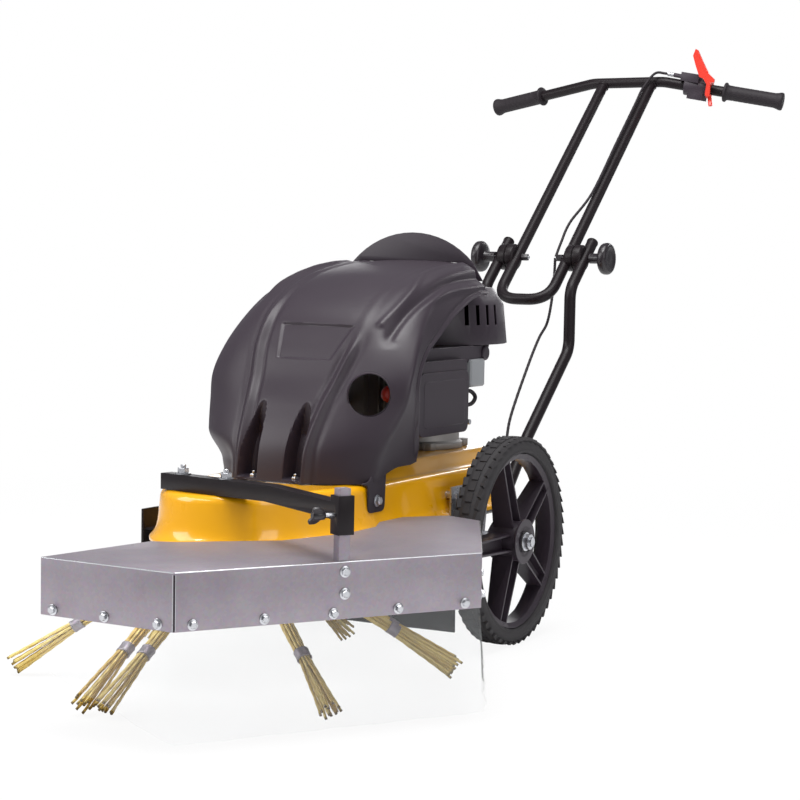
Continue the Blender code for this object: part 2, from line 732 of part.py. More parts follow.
def air_filter_cover():
    """Moulded cover with rounded corners, a ledge along its top and the primer's round seat."""
    obj = box("air_filter_cover", (0.104, FILTER_FRONT, 0.3565), (0.160, FILTER_REAR, 0.4660), "black_plastic")
    bevel(obj, 0.007, 1)
    ledge = box("filter_ledge", (0.108, -0.192, 0.460), (0.155, -0.034, 0.4785), hidden=True)
    bevel(ledge, 0.004, 1)
    shade(obj, 40)
    depth = BULB_LENGTH + BULB_TRAVEL + 2 * GAP
    face = BULB_AT - HOLE_NORMAL * 0.006
    seat_end = BULB_AT - HOLE_NORMAL * (depth + 0.010)
    seat = rod("primer_seat", seat_end, face, BULB_R + 0.005, hidden=True)
    stem_start = BULB_AT - HOLE_NORMAL * (depth + 0.004)
    stem = rod("primer_stem", stem_start, (stem_start.x, FILTER_FRONT + 0.010, stem_start.z), 0.013, sides=12,
               hidden=True)
    well = rod("cut_primer_well", BULB_AT - HOLE_NORMAL * depth, BULB_AT, BULB_R + GAP, hidden=True)
    return cut(join(obj, ledge, stem, seat), well)


def carburettor():
    """Carburettor body between the cylinder and the filter cover."""
    start = CYL_HALF + GAP
    end = 0.104 - GAP
    y = -0.090
    obj = rod("carburettor", (start, y, 0.420), (end, y, 0.420), 0.017, "cast_aluminium", 14)
    bowl = rod("carb_bowl", (0.078, y, 0.380), (0.078, y, 0.415), 0.018, sides=14, hidden=True)
    return join(obj, bowl)


def muffler():
    obj = box("muffler", (-0.112, -0.150, 0.366), (-CYL_HALF - GAP, -0.040, 0.446), "steel")
    bevel(obj, 0.010, 2)
    pipe = rod("muffler_pipe", (-0.085, -0.052, 0.380), (-0.135, -0.052, 0.366), 0.008, sides=10, hidden=True)
    shade(obj, 40)
    return join(obj, pipe)


def control_box():
    """Grey governor and brake cover beside the flywheel."""
    obj = box("control_box", (0.1186, 0.000, 0.428), (0.150, 0.052, 0.475), "grey_plastic")
    bevel(obj, 0.003, 1)
    hanger = box("control_hanger", (0.1230, 0.012, 0.470), (0.1400, 0.040, BLOWER_Z - GAP), hidden=True)
    return join(obj, hanger)


def breather_hose():
    """Small hose loop behind the filter cover."""
    x = 0.138
    route = [(x, -0.0274, 0.4205), (x, -0.008, 0.4220), (x + 0.002, 0.018, 0.420), (x + 0.003, 0.033, 0.4095),
             (x + 0.002, 0.022, 0.399), (x, -0.006, 0.397), (x, -0.0274, 0.396)]
    return tube("breather_hose", smooth_path(route, 3), 0.0035, "rubber", 1)


def governor_bracket():
    """Zinc bracket with the governor link's bolt, on the back of the filter cover's base."""
    front = FILTER_REAR + GAP
    obj = box("governor_bracket", (0.1160, front, 0.3800), (0.1400, 0.001, 0.3830), "zinc")
    foot = box("governor_foot", (0.1160, front, 0.3700), (0.1400, front + 0.003, 0.3829), hidden=True)
    upright = box("governor_upright", (0.1365, -0.012, 0.3655), (0.1399, 0.001, 0.3829), hidden=True)
    link = rod("governor_link", (0.132, -0.0055, 0.370), (0.152, -0.0055, 0.370), 0.0045, sides=10, hidden=True)
    return join(obj, foot, upright, link)


def primer_bulb():
    """Red primer bulb in its seat behind the round opening of the hood."""
    profile = [(0.0, 0.0), (0.0085, -0.0015), (BULB_R - 0.001, -0.006), (BULB_R, -0.010), (BULB_R, -BULB_LENGTH),
               (0.0, -BULB_LENGTH)]
    return shade(turned("primer_bulb", profile, BULB_AT, HOLE_NORMAL, "red_plastic", 16))


# Hood

def hood_station(share):
    """Reads the hood's stations at a share of its run from front to back."""
    place = share * (len(HOOD) - 1)
    k = min(int(place), len(HOOD) - 2)
    t = place - k
    picks = [HOOD[min(max(k + step, 0), len(HOOD) - 1)] for step in (-1, 0, 1, 2)]
    flat = [(s[0][0], s[0][1], s[1], *s[2], *s[3]) for s in picks]

    def blend(a, b, c, d):
        return 0.5 * (2 * b + (c - a) * t + (2 * a - 5 * b + 4 * c - d) * t * t
                      + (3 * b - a - 3 * c + d) * t ** 3)
    y, z, ridge, cx, cy, cz, rx, ry, rz = (blend(*column) for column in zip(*flat))
    return Vector((0, y, z)), ridge, Vector((cx, cy, cz)), Vector((rx, ry, rz))


def pocket(z):
    """Half width, as a share of the full one, of the tapered pockets at a height."""
    low = HOOD[0][0][1]
    share = (z - low) / (POCKET_TOP - low)
    return math.sqrt(max(0.0, 1.0 - share * share)) if share < 1 else 0.0


def hood_row(share):
    """Half of one cross section, from the middle of the front panel to the rim."""
    centre, ridge, corner, rim = hood_station(share)
    before, after = hood_station(max(0.0, share - 0.01))[0], hood_station(min(1.0, share + 0.01))[0]
    run = (after - before).normalized()
    inward = Vector((0, run.z, -run.y))
    crown = 0.004
    wide = POCKET_HALF * max(pocket(centre.z), 0.12)
    deep = POCKET_DEPTH * pocket(centre.z)
    row = []
    for x, depth in ((0.0, 0.0), (POCKET_AT - wide - 0.04, 0.0), (POCKET_AT - wide + 0.04, deep),
                     (POCKET_AT + wide - 0.04, deep), (POCKET_AT + wide + 0.03, 0.0), (1.0, 0.0)):
        sag = crown * x * x + depth
        row.append(Vector((ridge * x, centre.y, centre.z)) + inward * sag)
    edge = row[-1]
    arch = ease(ARCH_START, ARCH_START + 0.12, share)
    for t, groove in ((0.10, 0), (0.40, 0), (0.70, 1), (0.80, 1), (0.95, 0)):
        bulge = 0.010 * math.sin(math.pi * t) * (0.4 if t == 0.10 else 1.0)
        outward = Vector((0.5, 0, 0)) - inward * 0.8
        row.append(edge.lerp(corner, t) + outward * (bulge - groove * arch * ARCH_DEPTH))
    row.append(corner.lerp(rim, 0.08))
    row.append(corner.lerp(rim, 0.55))
    row.append(rim)
    return row


def hood():
    """Moulded cowl: a loft through its stations, thickened, with its near side opening and tab."""
    bm = bmesh.new()
    rows = []
    for k in range(HOOD_ROWS):
        half = hood_row(k / (HOOD_ROWS - 1))
        if k == 0:
            half = [Vector((p.x, p.y, max(p.z, deck_height(p.y) + HOOD_LIFT))) for p in half]
        near = [bm.verts.new(p) for p in half]
        far = [near[0]] + [bm.verts.new((-p.x, p.y, p.z)) for p in half[1:]]
        rows.append((near, far))
    for (near_a, far_a), (near_b, far_b) in zip(rows, rows[1:]):
        for k in range(len(near_a) - 1):
            bm.faces.new((near_a[k], near_a[k + 1], near_b[k + 1], near_b[k]))
            bm.faces.new((far_a[k + 1], far_a[k], far_b[k], far_b[k + 1]))
    bmesh.ops.recalc_face_normals(bm, faces=bm.faces)
    front = min(bm.faces, key=lambda f: f.calc_center_median().y)
    if front.normal.y > 0:
        bmesh.ops.reverse_faces(bm, faces=bm.faces)
    obj = from_bmesh("hood", bm, "black_plastic")
    mod = obj.modifiers.new("Wall", "SOLIDIFY")
    mod.thickness = HOOD_WALL
    mod.offset = -1.0
    shade(obj, 40)
    hole = rod("cut_hood_hole", HOLE_CENTRE - HOLE_NORMAL * 0.03, HOLE_CENTRE + HOLE_NORMAL * 0.04, HOLE_R,
               sides=24, hidden=True)
    cut(obj, hole)
    inside = DECK_HALF + GAP
    for side in (-1, 1):
        low = (min(side * inside, side * (inside + 0.003)), -0.318, 0.249)
        high = (max(side * inside, side * (inside + 0.003)), -0.262, 0.330)
        tab = box(f"hood_tab_{side}", low, high, hidden=True)
        join(obj, tab)
        bolt = rod(f"tab_bolt_{side}", (side * (inside + 0.001), -0.290, 0.268), (side * (inside + 0.009), -0.290, 0.268),
                   0.0075, sides=6, hidden=True)
        join(obj, bolt)
    return obj


def rear_shield():
    """Flat shield with a round top, standing behind the hood's rear edge."""
    radius = 0.163
    centre_z = 0.525
    low = 0.6005 + 0.0365
    half = math.sqrt(radius ** 2 - (low - centre_z) ** 2)
    start = math.asin((low - centre_z) / radius)
    count = 16
    outline = [(radius * math.cos(a), centre_z + radius * math.sin(a))
               for a in (start + (math.pi - 2 * start) * k / count for k in range(count + 1))]
    ears = [(-half, low), (-0.138, 0.606), (-0.118, 0.606), (-0.100, low), (0.100, low), (0.118, 0.606), (0.138, 0.606)]
    curve_points = outline[:-1] + ears
    obj = plate("rear_shield", curve_points, -0.0015, 0.0015, "black_plastic")
    obj.rotation_euler = (math.pi / 2, 0, 0)
    obj.location = (0, 0.058 + GAP + 0.0015, 0)
    return obj


# Axle, wheels and tubes

def axle():
    """Axle with collars inside the hubs and nuts outside them."""
    inner = WHEEL_X - HUB_WIDTH / 2
    outer = WHEEL_X + HUB_WIDTH / 2
    collar = 0.0120
    nut = 0.0130
    bracket = BRACKET_X + PLATE_T + GAP
    half = [(AXLE_R, outer + 0.014), (AXLE_R, outer + 0.010),
            (nut, outer + 0.010), (nut, outer + GAP), (AXLE_R, outer + GAP), (AXLE_R, inner - GAP),
            (collar, inner - GAP), (collar, bracket), (AXLE_R, bracket)]
    profile = [(0.0, half[0][1]), *half, *[(r, -x) for r, x in reversed(half)], (0.0, -half[0][1])]
    return shade(turned("axle", profile, (0, 0, WHEEL_R), (1, 0, 0), "zinc", 10))


def axle_bracket(side, name):
    """Plate bolted to the deck's side, with the axle's bore and two bolt heads."""
    outline = [(-0.092, WHEEL_R - 0.025), (-0.030, WHEEL_R - 0.035), (0.030, WHEEL_R - 0.025), (0.040, 0.215),
               (0.040, 0.268), (-0.092, 0.268)]
    bore = circle(AXLE_R + 2 * GAP, (0, WHEEL_R), 14)
    obj = plate(name, outline, -PLATE_T / 2, PLATE_T / 2, "zinc", (bore,))
    obj.rotation_euler = (math.pi / 2, 0, math.pi / 2)
    obj.location = (side * (BRACKET_X + PLATE_T / 2), 0, 0)
    for y in (-0.075, 0.022):
        start = side * (DECK_HALF + GAP)
        end = side * (BRACKET_X + PLATE_T + 0.005)
        spacer = rod(f"{name}_bolt_{y}", (start, y, 0.252), (end, y, 0.252), 0.0075, sides=6, hidden=True)
        join(obj, spacer)
    return obj


def tyre(side, name):
    """Solid rubber tyre ring with rounded shoulders."""
    half = TYRE_WIDTH / 2
    inner = WHEEL_R - TYRE_DEPTH
    profile = [(inner, half - 0.005), (inner + 0.006, half), (WHEEL_R - 0.007, half), (WHEEL_R, half - 0.008),
               (WHEEL_R, -half + 0.008), (WHEEL_R - 0.007, -half), (inner + 0.006, -half), (inner, -half + 0.005)]
    return shade(turned(name, profile, (side * WHEEL_X, 0, WHEEL_R), (side, 0, 0), "rubber", WHEEL_STEPS, True))


def rim(side, name):
    """Moulded rim: ring, hub and five tapered H section spokes."""
    outer = WHEEL_R - TYRE_DEPTH - GAP
    half = TYRE_WIDTH / 2 - 0.006
    ring = [(outer, half), (outer, -half), (outer - 0.009, -half + 0.004), (outer - 0.009, half - 0.004)]
    obj = shade(turned(name, ring, (side * WHEEL_X, 0, WHEEL_R), (side, 0, 0), "black_plastic", WHEEL_STEPS,
                       True))
    end = HUB_WIDTH / 2
    hub_profile = [(HUB_R - 0.008, end), (HUB_R, end - 0.006), (HUB_R, 0.006 - end), (HUB_R - 0.008, -end),
                   (AXLE_R + 2 * GAP, -end), (AXLE_R + 2 * GAP, end)]
    hub = turned(name + "_hub", hub_profile, (side * WHEEL_X, 0, WHEEL_R), (side, 0, 0), None, 15, True, True)
    join(obj, hub)
    for k in range(SPOKES):
        join(obj, spoke(f"{name}_spoke_{k}", side, math.tau * k / SPOKES + math.radians(90), outer - 0.004))
    return obj


def spoke(name, side, angle, reach):
    """Tapered H section from the hub to the ring."""
    def section(wide, deep, web, wall):
        return [(-wide, -deep), (-wide + wall, -deep), (-wide + wall, -web), (wide - wall, -web),
                (wide - wall, -deep), (wide, -deep), (wide, deep), (wide - wall, deep),
                (wide - wall, web), (-wide + wall, web), (-wide + wall, deep), (-wide, deep)]
    bm = bmesh.new()
    rings = []
    for along, wide, deep in ((HUB_R - 0.010, 0.0155, 0.019), (reach, 0.0125, 0.0135)):
        rings.append([bm.verts.new((deep_at, wide_at, along))
                      for wide_at, deep_at in section(wide, deep, 0.0022, 0.0035)])
    count = len(rings[0])
    for k in range(count):
        bm.faces.new((rings[0][k], rings[0][(k + 1) % count], rings[1][(k + 1) % count], rings[1][k]))
    bm.faces.new(reversed(rings[0]))
    bm.faces.new(rings[1])
    bmesh.ops.recalc_face_normals(bm, faces=bm.faces)
    obj = from_bmesh(name, bm, None, True)
    obj.location = (side * WHEEL_X, 0, WHEEL_R)
    obj.rotation_euler = (angle, 0, 0)
    return obj


def lower_tube(side, name):
    """Bent tube from the clamp down to a straight run bolted under the base plate."""
    x = side * LOWER_X
    run = BASE_Z - PLATE_T - GAP - TUBE_R
    y, z = PIVOT
    reach = 0.046
    points = [(x, y + reach * math.cos(HANDLE_SLOPE), z + reach * math.sin(HANDLE_SLOPE)),
              (x, 0.527, z - (y - 0.527) * math.tan(HANDLE_SLOPE)), (x, 0.527, 0.472), (x, 0.351, 0.317),
              (x, 0.246, run), (x, FLAP_Y + FLAP_T + 0.066, run)]
    obj = tube(name, bent(points, 0.045, 2), TUBE_R, "black_paint", 2)
    near_leg = side * (LEG_X + TUBE_R)
    rosette = rod(name + "_rosette", (near_leg + side * (ROSETTE_GAP + GAP), y, z), (x, y, z), ROSETTE_R, hidden=True)
    join(obj, rosette)
    hole = rod(name + "_cut_bolt", (side * 0.02, y, z), (side * 0.16, y, z), BOLT_R + BOLT_PLAY, sides=10, hidden=True)
    return cut(obj, hole)


# Handle

def handle_frame():
    """U tube and crossbar welded together, with the serrated clamp faces on the legs."""
    y, z = PIVOT
    down = 0.120
    lean = Vector((0, math.cos(HANDLE_SLOPE), math.sin(HANDLE_SLOPE)))
    foot = Vector((0, y, z)) - lean * down
    top = Vector((0, BAR_Y, BAR_Z)) - lean * 0.006
    points = [Vector((-LEG_X, 0, 0)) + top, Vector((-LEG_X, 0, 0)) + foot, Vector((LEG_X, 0, 0)) + foot,
              Vector((LEG_X, 0, 0)) + top]
    obj = tube("handle_frame", bent(points, 0.045, 5), TUBE_R, "black_paint", 2)
    x, end_y, end_z = BAR_END
    bar = [(-x, end_y, end_z), (-BAR_STRAIGHT, BAR_Y, BAR_Z), (BAR_STRAIGHT, BAR_Y, BAR_Z), (x, end_y, end_z)]
    crossbar = tube("crossbar", bent(bar, 0.090, 2), TUBE_R, None, 2, hidden=True)
    join(obj, crossbar)
    for side in (-1, 1):
        rosette = rod(f"upper_rosette_{side}", (side * LEG_X, y, z),
                      (side * (LEG_X + TUBE_R + ROSETTE_GAP), y, z), ROSETTE_R, hidden=True)
        join(obj, rosette)
        hole = rod(f"cut_handle_bolt_{side}", (side * 0.02, y, z), (side * 0.16, y, z), BOLT_R + BOLT_PLAY,
                   sides=10, hidden=True)
        cut(obj, hole)
    return obj


def grip(side, name):
    """Rubber grip with a closed end, end flange and inner ring."""
    x, y, z = BAR_END
    end = Vector((side * x, y, z))
    inner = Vector((side * BAR_STRAIGHT, BAR_Y, BAR_Z))
    out = (end - inner).normalized()
    bore = TUBE_R + GAP
    length = GRIP_LENGTH
    profile = [(0.0, 0.006), (GRIP_R + 0.002, 0.006), (GRIP_R + 0.003, -0.002), (GRIP_R - 0.001, -0.006),
               (GRIP_R, -length + 0.012), (GRIP_R + 0.005, -length + 0.008), (GRIP_R + 0.004, -length),
               (bore, -length), (bore, GAP), (0.0, GAP)]
    return shade(turned(name, profile, end, out, "rubber", 16))


def clamp_knob(side, name):
    """Star knob and its bolt, which passes the tubes into a nut inside the leg."""
    y, z = PIVOT
    outside = LOWER_X + TUBE_R + GAP
    inside = LEG_X - TUBE_R - GAP
    lobes = 6
    outline = []
    for k in range(lobes * 4):
        angle = math.tau * k / (lobes * 4)
        radius = KNOB_R + 0.0018 * math.cos(lobes * angle)
        outline.append((radius * math.cos(angle), radius * math.sin(angle)))
    obj = plate(name, outline, 0.0, 0.020, "black_plastic")
    aim_side = Vector((side, 0, 0))
    aim(obj, (side * (outside + 0.024), y, z), aim_side)
    bevel(obj, 0.005, 1)
    stem = rod(name + "_stem", (side * outside, y, z), (side * (outside + 0.026), y, z), 0.0100, sides=14,
               hidden=True, end_radius=0.013)
    bolt = rod(name + "_bolt", (side * (inside - 0.004), y, z), (side * (outside + 0.01), y, z), BOLT_R, sides=10,
               hidden=True)
    nut = rod(name + "_nut", (side * (inside - CLAMP_NUT), y, z), (side * inside, y, z), 0.0075, sides=6, hidden=True)
    return join(obj, stem, bolt, nut)


def lever_housing():
    """Two part lever housing clamped on the bar beside the near grip."""
    inner = Vector((BAR_STRAIGHT, BAR_Y, BAR_Z))
    end = Vector(BAR_END)
    out = (end - inner).normalized()
    start = inner + out * 0.048
    stop = inner + out * 0.096
    obj = rod("lever_housing", start, stop, 0.0195, "black_plastic", 16)
    lid_centre = inner + out * 0.064 + Vector((0, -0.008, 0.018))
    lid = box("housing_lid", lid_centre - Vector((0.020, 0.012, 0.009)), lid_centre + Vector((0.020, 0.012, 0.009)),
              hidden=True, turn=(0, math.atan2(-out.z, out.x), 0))
    low_centre = inner + out * 0.075 + Vector((0, -0.004, -0.016))
    low = box("housing_low", low_centre - Vector((0.017, 0.014, 0.010)), low_centre + Vector((0.017, 0.014, 0.010)),
              hidden=True, turn=(0, math.atan2(-out.z, out.x), 0))
    bore = rod("cut_housing_bore", inner + out * 0.02, inner + out * 0.14, TUBE_R + 2 * GAP, sides=16, hidden=True)
    inlet = rod("housing_inlet", inner + out * 0.050 + Vector((-0.002, -0.008, 0.018)),
                inner + out * 0.026 + Vector((0, -0.008, 0.018)), 0.0045, sides=10, hidden=True)
    return cut(join(obj, lid, low, inlet), bore)


def control_lever():
    """Red lever: a ring round the bar beside the housing, with a flat blade before the housing."""
    inner = Vector((BAR_STRAIGHT, BAR_Y, BAR_Z))
    out = (Vector(BAR_END) - inner).normalized()
    start = inner + out * (0.096 + GAP)
    bore = TUBE_R + 2 * GAP
    ring = turned("control_lever", [(0.0190, 0.008), (0.0190, 0.0), (bore, 0.0), (bore, 0.008)],
                  start, out, "red_plastic", 16, True)
    up = Vector((0, -0.12, 1.0))
    face = out.cross(up).normalized()
    lift = face.cross(out).normalized()
    frame = Matrix((out, lift, face)).transposed().to_4x4()
    blade = plate("lever_blade", LEVER_OUTLINE, LEVER_FRONT, LEVER_FRONT + 0.006, hidden=True)
    web = box("lever_web", (-0.0035, -0.009, 0.010), (0.0035, 0.012, LEVER_FRONT + 0.003), hidden=True)
    blade.matrix_world = Matrix.Translation(start + out * 0.004 + face * (LEVER_FRONT + 0.003)) @ frame
    web_middle = (LEVER_FRONT + 0.013) / 2
    web.matrix_world = Matrix.Translation(start + out * 0.004 + lift * 0.0015 + face * web_middle) @ frame
    tail_at = start + out * 0.0065
    tail = rod("lever_tail", tail_at + Vector((0, -0.008, -0.012)), tail_at + Vector((0.006, -0.016, -0.034)), 0.0045,
               sides=8, hidden=True)
    clear = rod("cut_lever_bore", inner, inner + out * 0.2, bore, sides=16, hidden=True)
    return cut(join(ring, web, blade, tail), clear)


def cable_starts():
    inner = Vector((BAR_STRAIGHT, BAR_Y, BAR_Z))
    out = (Vector(BAR_END) - inner).normalized()
    return inner + out * 0.026 + Vector((0, -0.008, 0.018)), out


def upper_cable():
    """Sheathed cable from the housing along the near leg to the pivot."""
    start, out = cable_starts()
    y, z = PIVOT
    lean = Vector((0, math.cos(HANDLE_SLOPE), math.sin(HANDLE_SLOPE)))
    up = Vector((0, -math.sin(HANDLE_SLOPE), math.cos(HANDLE_SLOPE)))
    leg = Vector((LEG_X - 0.004, 0, 0))
    top = Vector((0, BAR_Y, BAR_Z))
    rise = up * (TUBE_R + CABLE_R + 0.003)
    route = [start - out * GAP, start - out * 0.020, start - out * 0.040 + Vector((0, -0.006, -0.004)),
             leg + top + rise - lean * 0.040, leg + top + rise - lean * 0.100, leg + top + rise - lean * 0.220,
             leg + top + rise - lean * 0.380,
             Vector((CABLE_X + 0.004, y, z)) + lean * 0.090 + rise * 0.8,
             Vector((CABLE_X, y, z)) + lean * 0.040 + rise * 0.3, Vector((CABLE_X, y + CABLE_R, z + CABLE_R))]
    return tube("upper_cable", smooth_path(route, 2), CABLE_R, "rubber", 1)


def lower_cable():
    """Free part of the cable from the pivot down to the boss on the deck's rear wall."""
    y, z = PIVOT
    x, end, height = CABLE_BOSS
    route = [(CABLE_X, y, z - GAP), (CABLE_X, y - 0.003, z - 0.037), (CABLE_X + 0.003, y - 0.019, z - 0.085),
             (CABLE_X + 0.010, y - 0.053, z - 0.127), (0.045, 0.488, 0.492), (0.050, 0.430, 0.440),
             (0.053, 0.355, 0.350), (0.067, 0.308, 0.298), (0.080, 0.262, 0.269), (x, end + 0.020, height),
             (x, end + GAP, height)]
    return tube("lower_cable", smooth_path(route, 3), CABLE_R, "rubber", 2)


# Guard and its arm

def post_place():
    """Centre of the guard post, behind the middle face of the guard."""
    b, c = Vector(GUARD_OUTER[1]), Vector(GUARD_OUTER[2])
    run = (c - b).normalized()
    outward = Vector((run.y, -run.x))
    middle = b + (c - b) * POST_AT - outward * (SHEET + POST_SIZE / 2 + GAP)
    return middle, math.atan2(outward.y, outward.x)


def square(size, middle, angle):
    half = size / 2
    turn = Matrix.Rotation(angle, 2)
    return [tuple(middle + turn @ Vector(c)) for c in ((-half, -half), (half, -half), (half, half), (-half, half))]


def guard_arm():
    """Square tube with one bend and the upright sleeve for the guard post welded on its end."""
    middle, angle = post_place()
    top = LOBE_TOP + GAP + ARM_SIZE
    low = LOBE_TOP + GAP
    line = [*ARM_POINTS, tuple(middle)]
    left = offset_line(line, ARM_SIZE / 2)
    right = offset_line(line, -ARM_SIZE / 2)
    obj = plate("guard_arm", left + right[::-1], low, top, "black_paint")
    back = (Vector(line[1]) - Vector(line[2])).normalized() * ARM_PLUG
    bore_line = [tuple(Vector(line[0]) + (Vector(line[0]) - Vector(line[1])) * 0.1), line[1],
                 tuple(Vector(line[2]) + back)]
    inner = ARM_SIZE / 2 - ARM_WALL
    hollow = plate("cut_arm", offset_line(bore_line, inner) + offset_line(bore_line, -inner)[::-1],
                   low + ARM_WALL, top - ARM_WALL, hidden=True)
    cut(obj, hollow)
    sleeve = plate("arm_sleeve", square(POST_SIZE + 2 * SLEEVE_WALL, middle, angle), *SLEEVE_Z, hidden=True)
    join(obj, sleeve)
    bore = plate("cut_sleeve", square(POST_SIZE + 2 * GAP, middle, angle), SLEEVE_Z[0] - 0.01, SLEEVE_Z[1] + 0.01,
                 hidden=True)
    cut(obj, bore)
    screw = knob_line()
    cut(obj, rod("cut_knob_screw", screw[0] - screw[1] * 0.004, screw[0] + screw[1] * 0.03, 0.003 + BOLT_PLAY, sides=10,
                 hidden=True))
    for k, (x, y) in enumerate(ARM_BOLTS):
        cut(obj, rod(f"cut_arm_bolt_{k}", (x, y, low - 0.01), (x, y, top + 0.01), BOLT_R + BOLT_PLAY, sides=12,
                     hidden=True))
    return obj


def knob_line():
    """Where the post meets the clamp screw, and the screw's outward direction."""
    middle, angle = post_place()
    run = Vector((math.cos(angle - math.pi / 2), math.sin(angle - math.pi / 2), 0))
    start = Vector((*middle, 0.300)) + run * (POST_SIZE / 2 + GAP)
    return start, run


def guard_knob():
    """Wing screw that holds the post in the sleeve."""
    start, run = knob_line()
    outside = start + run * (SLEEVE_WALL + 0.0025)
    obj = rod("guard_knob", start, start + run * 0.020, 0.003, "black_plastic", 10)
    hub = rod("knob_hub", outside + run * 0.002, outside + run * 0.020, 0.0065, sides=12, hidden=True)
    wing = box("knob_wing", Vector((-0.0135, -0.003, 0)), Vector((0.0135, 0.003, 0.014)), hidden=True)
    bevel(wing, 0.0025, 1)
    wing.rotation_euler = run.to_track_quat("Z", "Y").to_euler()
    wing.location = outside + run * 0.021
    return join(obj, hub, wing)


def arm_bolt(k, name):
    """Bolt through the arm and the deck's top, with its nut and washer on the arm."""
    x, y = ARM_BOLTS[k]
    top = LOBE_TOP + GAP + ARM_SIZE + GAP
    low = LOBE_TOP - SHEET - 0.0010
    obj = rod(name, (x, y, low - 0.004), (x, y, top + 0.014), BOLT_R, "zinc", 10)
    nut = rod(name + "_nut", (x, y, top + 0.0016), (x, y, top + 0.0086), 0.0075, sides=6, hidden=True)
    washer = rod(name + "_washer", (x, y, top), (x, y, top + 0.0018), 0.0095, sides=12, hidden=True)
    head = rod(name + "_head", (x, y, low - 0.0055), (x, y, low), 0.0070, sides=6, hidden=True)
    return join(obj, nut, washer, head)


def guard_sheet():
    """Bent sheet: a flat top with three turned-down faces, thickened, and notched for the post."""
    low = GUARD_TOP - GUARD_DEPTH
    bm = bmesh.new()
    outer = [bm.verts.new((x, y, GUARD_TOP)) for x, y in GUARD_OUTER]
    inner = [bm.verts.new((x, y, GUARD_TOP)) for x, y in GUARD_INNER]
    foot = [bm.verts.new((x, y, low)) for x, y in GUARD_OUTER]
    top = bm.faces.new(outer + inner)
    for k in range(len(outer) - 1):
        bm.faces.new((foot[k], foot[k + 1], outer[k + 1], outer[k]))
    bmesh.ops.recalc_face_normals(bm, faces=bm.faces)
    if top.normal.z < 0:
        bmesh.ops.reverse_faces(bm, faces=bm.faces)
    obj = from_bmesh("guard_sheet", bm, "guard_sheet")
    mod = obj.modifiers.new("Sheet", "SOLIDIFY")
    mod.thickness = SHEET
    mod.offset = -1.0
    mod.use_even_offset = True
    middle, angle = post_place()
    notch = plate("cut_notch", square(POST_SIZE + 2 * GAP, middle, angle), GUARD_TOP - SHEET - 0.003,
                  GUARD_TOP + 0.005, hidden=True)
    return cut(obj, notch)


def guard_post():
    """Square post bolted behind the guard's middle face."""
    middle, angle = post_place()
    obj = plate("guard_post", square(POST_SIZE, middle, angle), POST_BOTTOM, POST_TOP, "zinc")
    bore = plate("cut_post", square(POST_SIZE - 0.005, middle, angle), POST_TOP - 0.030, POST_TOP + 0.01, hidden=True)
    return cut(obj, bore)


def guard_skirt():
    """Clear film inside the guard's faces, flared outwards below them to just above the ground."""
    steps = 3
    rows = []
    for height, distance in ((SKIRT_TOP, SHEET + GAP), (HEM_Z, SHEET + GAP), (SKIRT_BOTTOM, -SKIRT_FLARE)):
        line = offset_line(GUARD_OUTER, distance)
        points = []
        for a, b in zip(line, line[1:]):
            points += [Vector(a).lerp(Vector(b), s / steps) for s in range(steps)]
        rows.append([(point, height) for point in (*points, Vector(line[-1]))])
    bm = bmesh.new()
    made = []
    for row in rows:
        verts = []
        for k, (point, height) in enumerate(row):
            lift = (SKIRT_CORNER - SKIRT_BOTTOM) * max(0.0, 1 - k / steps) if row is rows[-1] else 0.0
            verts.append(bm.verts.new((*point, height + lift)))
        made.append(verts)
    for top, foot in zip(made, made[1:]):
        for k in range(len(top) - 1):
            bm.faces.new((foot[k], foot[k + 1], top[k + 1], top[k]))
    bmesh.ops.recalc_face_normals(bm, faces=bm.faces)
    first = next(iter(bm.faces))
    if first.normal.y > 0:
        bmesh.ops.reverse_faces(bm, faces=bm.faces)
    obj = from_bmesh("guard_skirt", bm, "clear_film")
    mod = obj.modifiers.new("Film", "SOLIDIFY")
    mod.thickness = 0.0015
    mod.offset = -1.0
    mod.use_even_offset = True
    middle, angle = post_place()
    relief = plate("cut_skirt_post", square(POST_SIZE + 2 * GAP, middle, angle), POST_BOTTOM - 0.001,
                   POST_TOP, hidden=True)
    return cut(obj, relief)


# Brush rotor

def tuft_slope():
    """Slope at which a tuft runs from its socket's top down to the ground at the brush's rim."""
    slope = 0.5
    for _ in range(30):
        tip = BUNDLE_R * TIP_SPREAD * math.cos(slope) - FLOOR_CUT
        slope = math.atan2(TUFT_TOP - tip, BRUSH_R - SOCKET_START)
    return slope


TUFT_SLOPE = tuft_slope()
TIP_HEIGHT = BUNDLE_R * TIP_SPREAD * math.cos(TUFT_SLOPE) - FLOOR_CUT


def tuft_point(reach, lift=0.0):
    """Point on a tuft's middle line, at a reach along it from the socket's start."""
    tip = Vector((BRUSH_R, 0, TIP_HEIGHT))
    along = Vector((math.cos(TUFT_SLOPE), 0, -math.sin(TUFT_SLOPE)))
    full = (BRUSH_R - SOCKET_START) / math.cos(TUFT_SLOPE)
    return tip - along * (full - reach) + Vector((0, 0, lift))


SOCKET_LENGTH = (SOCKET_END - SOCKET_START) / math.cos(TUFT_SLOPE)
ROOT_AT = SOCKET_LENGTH - ROOT_LENGTH - 0.004


def tuft_place(degrees, aside):
    """Turns a tuft's own upright plane to its direction, moved aside where two stand parallel."""
    turn = Matrix.Rotation(math.radians(degrees), 4, "Z")
    return Matrix.Translation((0, BRUSH_Y, 0)) @ turn @ Matrix.Translation((0, aside, 0))


def strand_places():
    """Places of the wire ropes in a round bundle, as an inner and an outer ring."""
    return [Vector(place) for count, radius in STRAND_RINGS for place in circle(radius, count=count)]


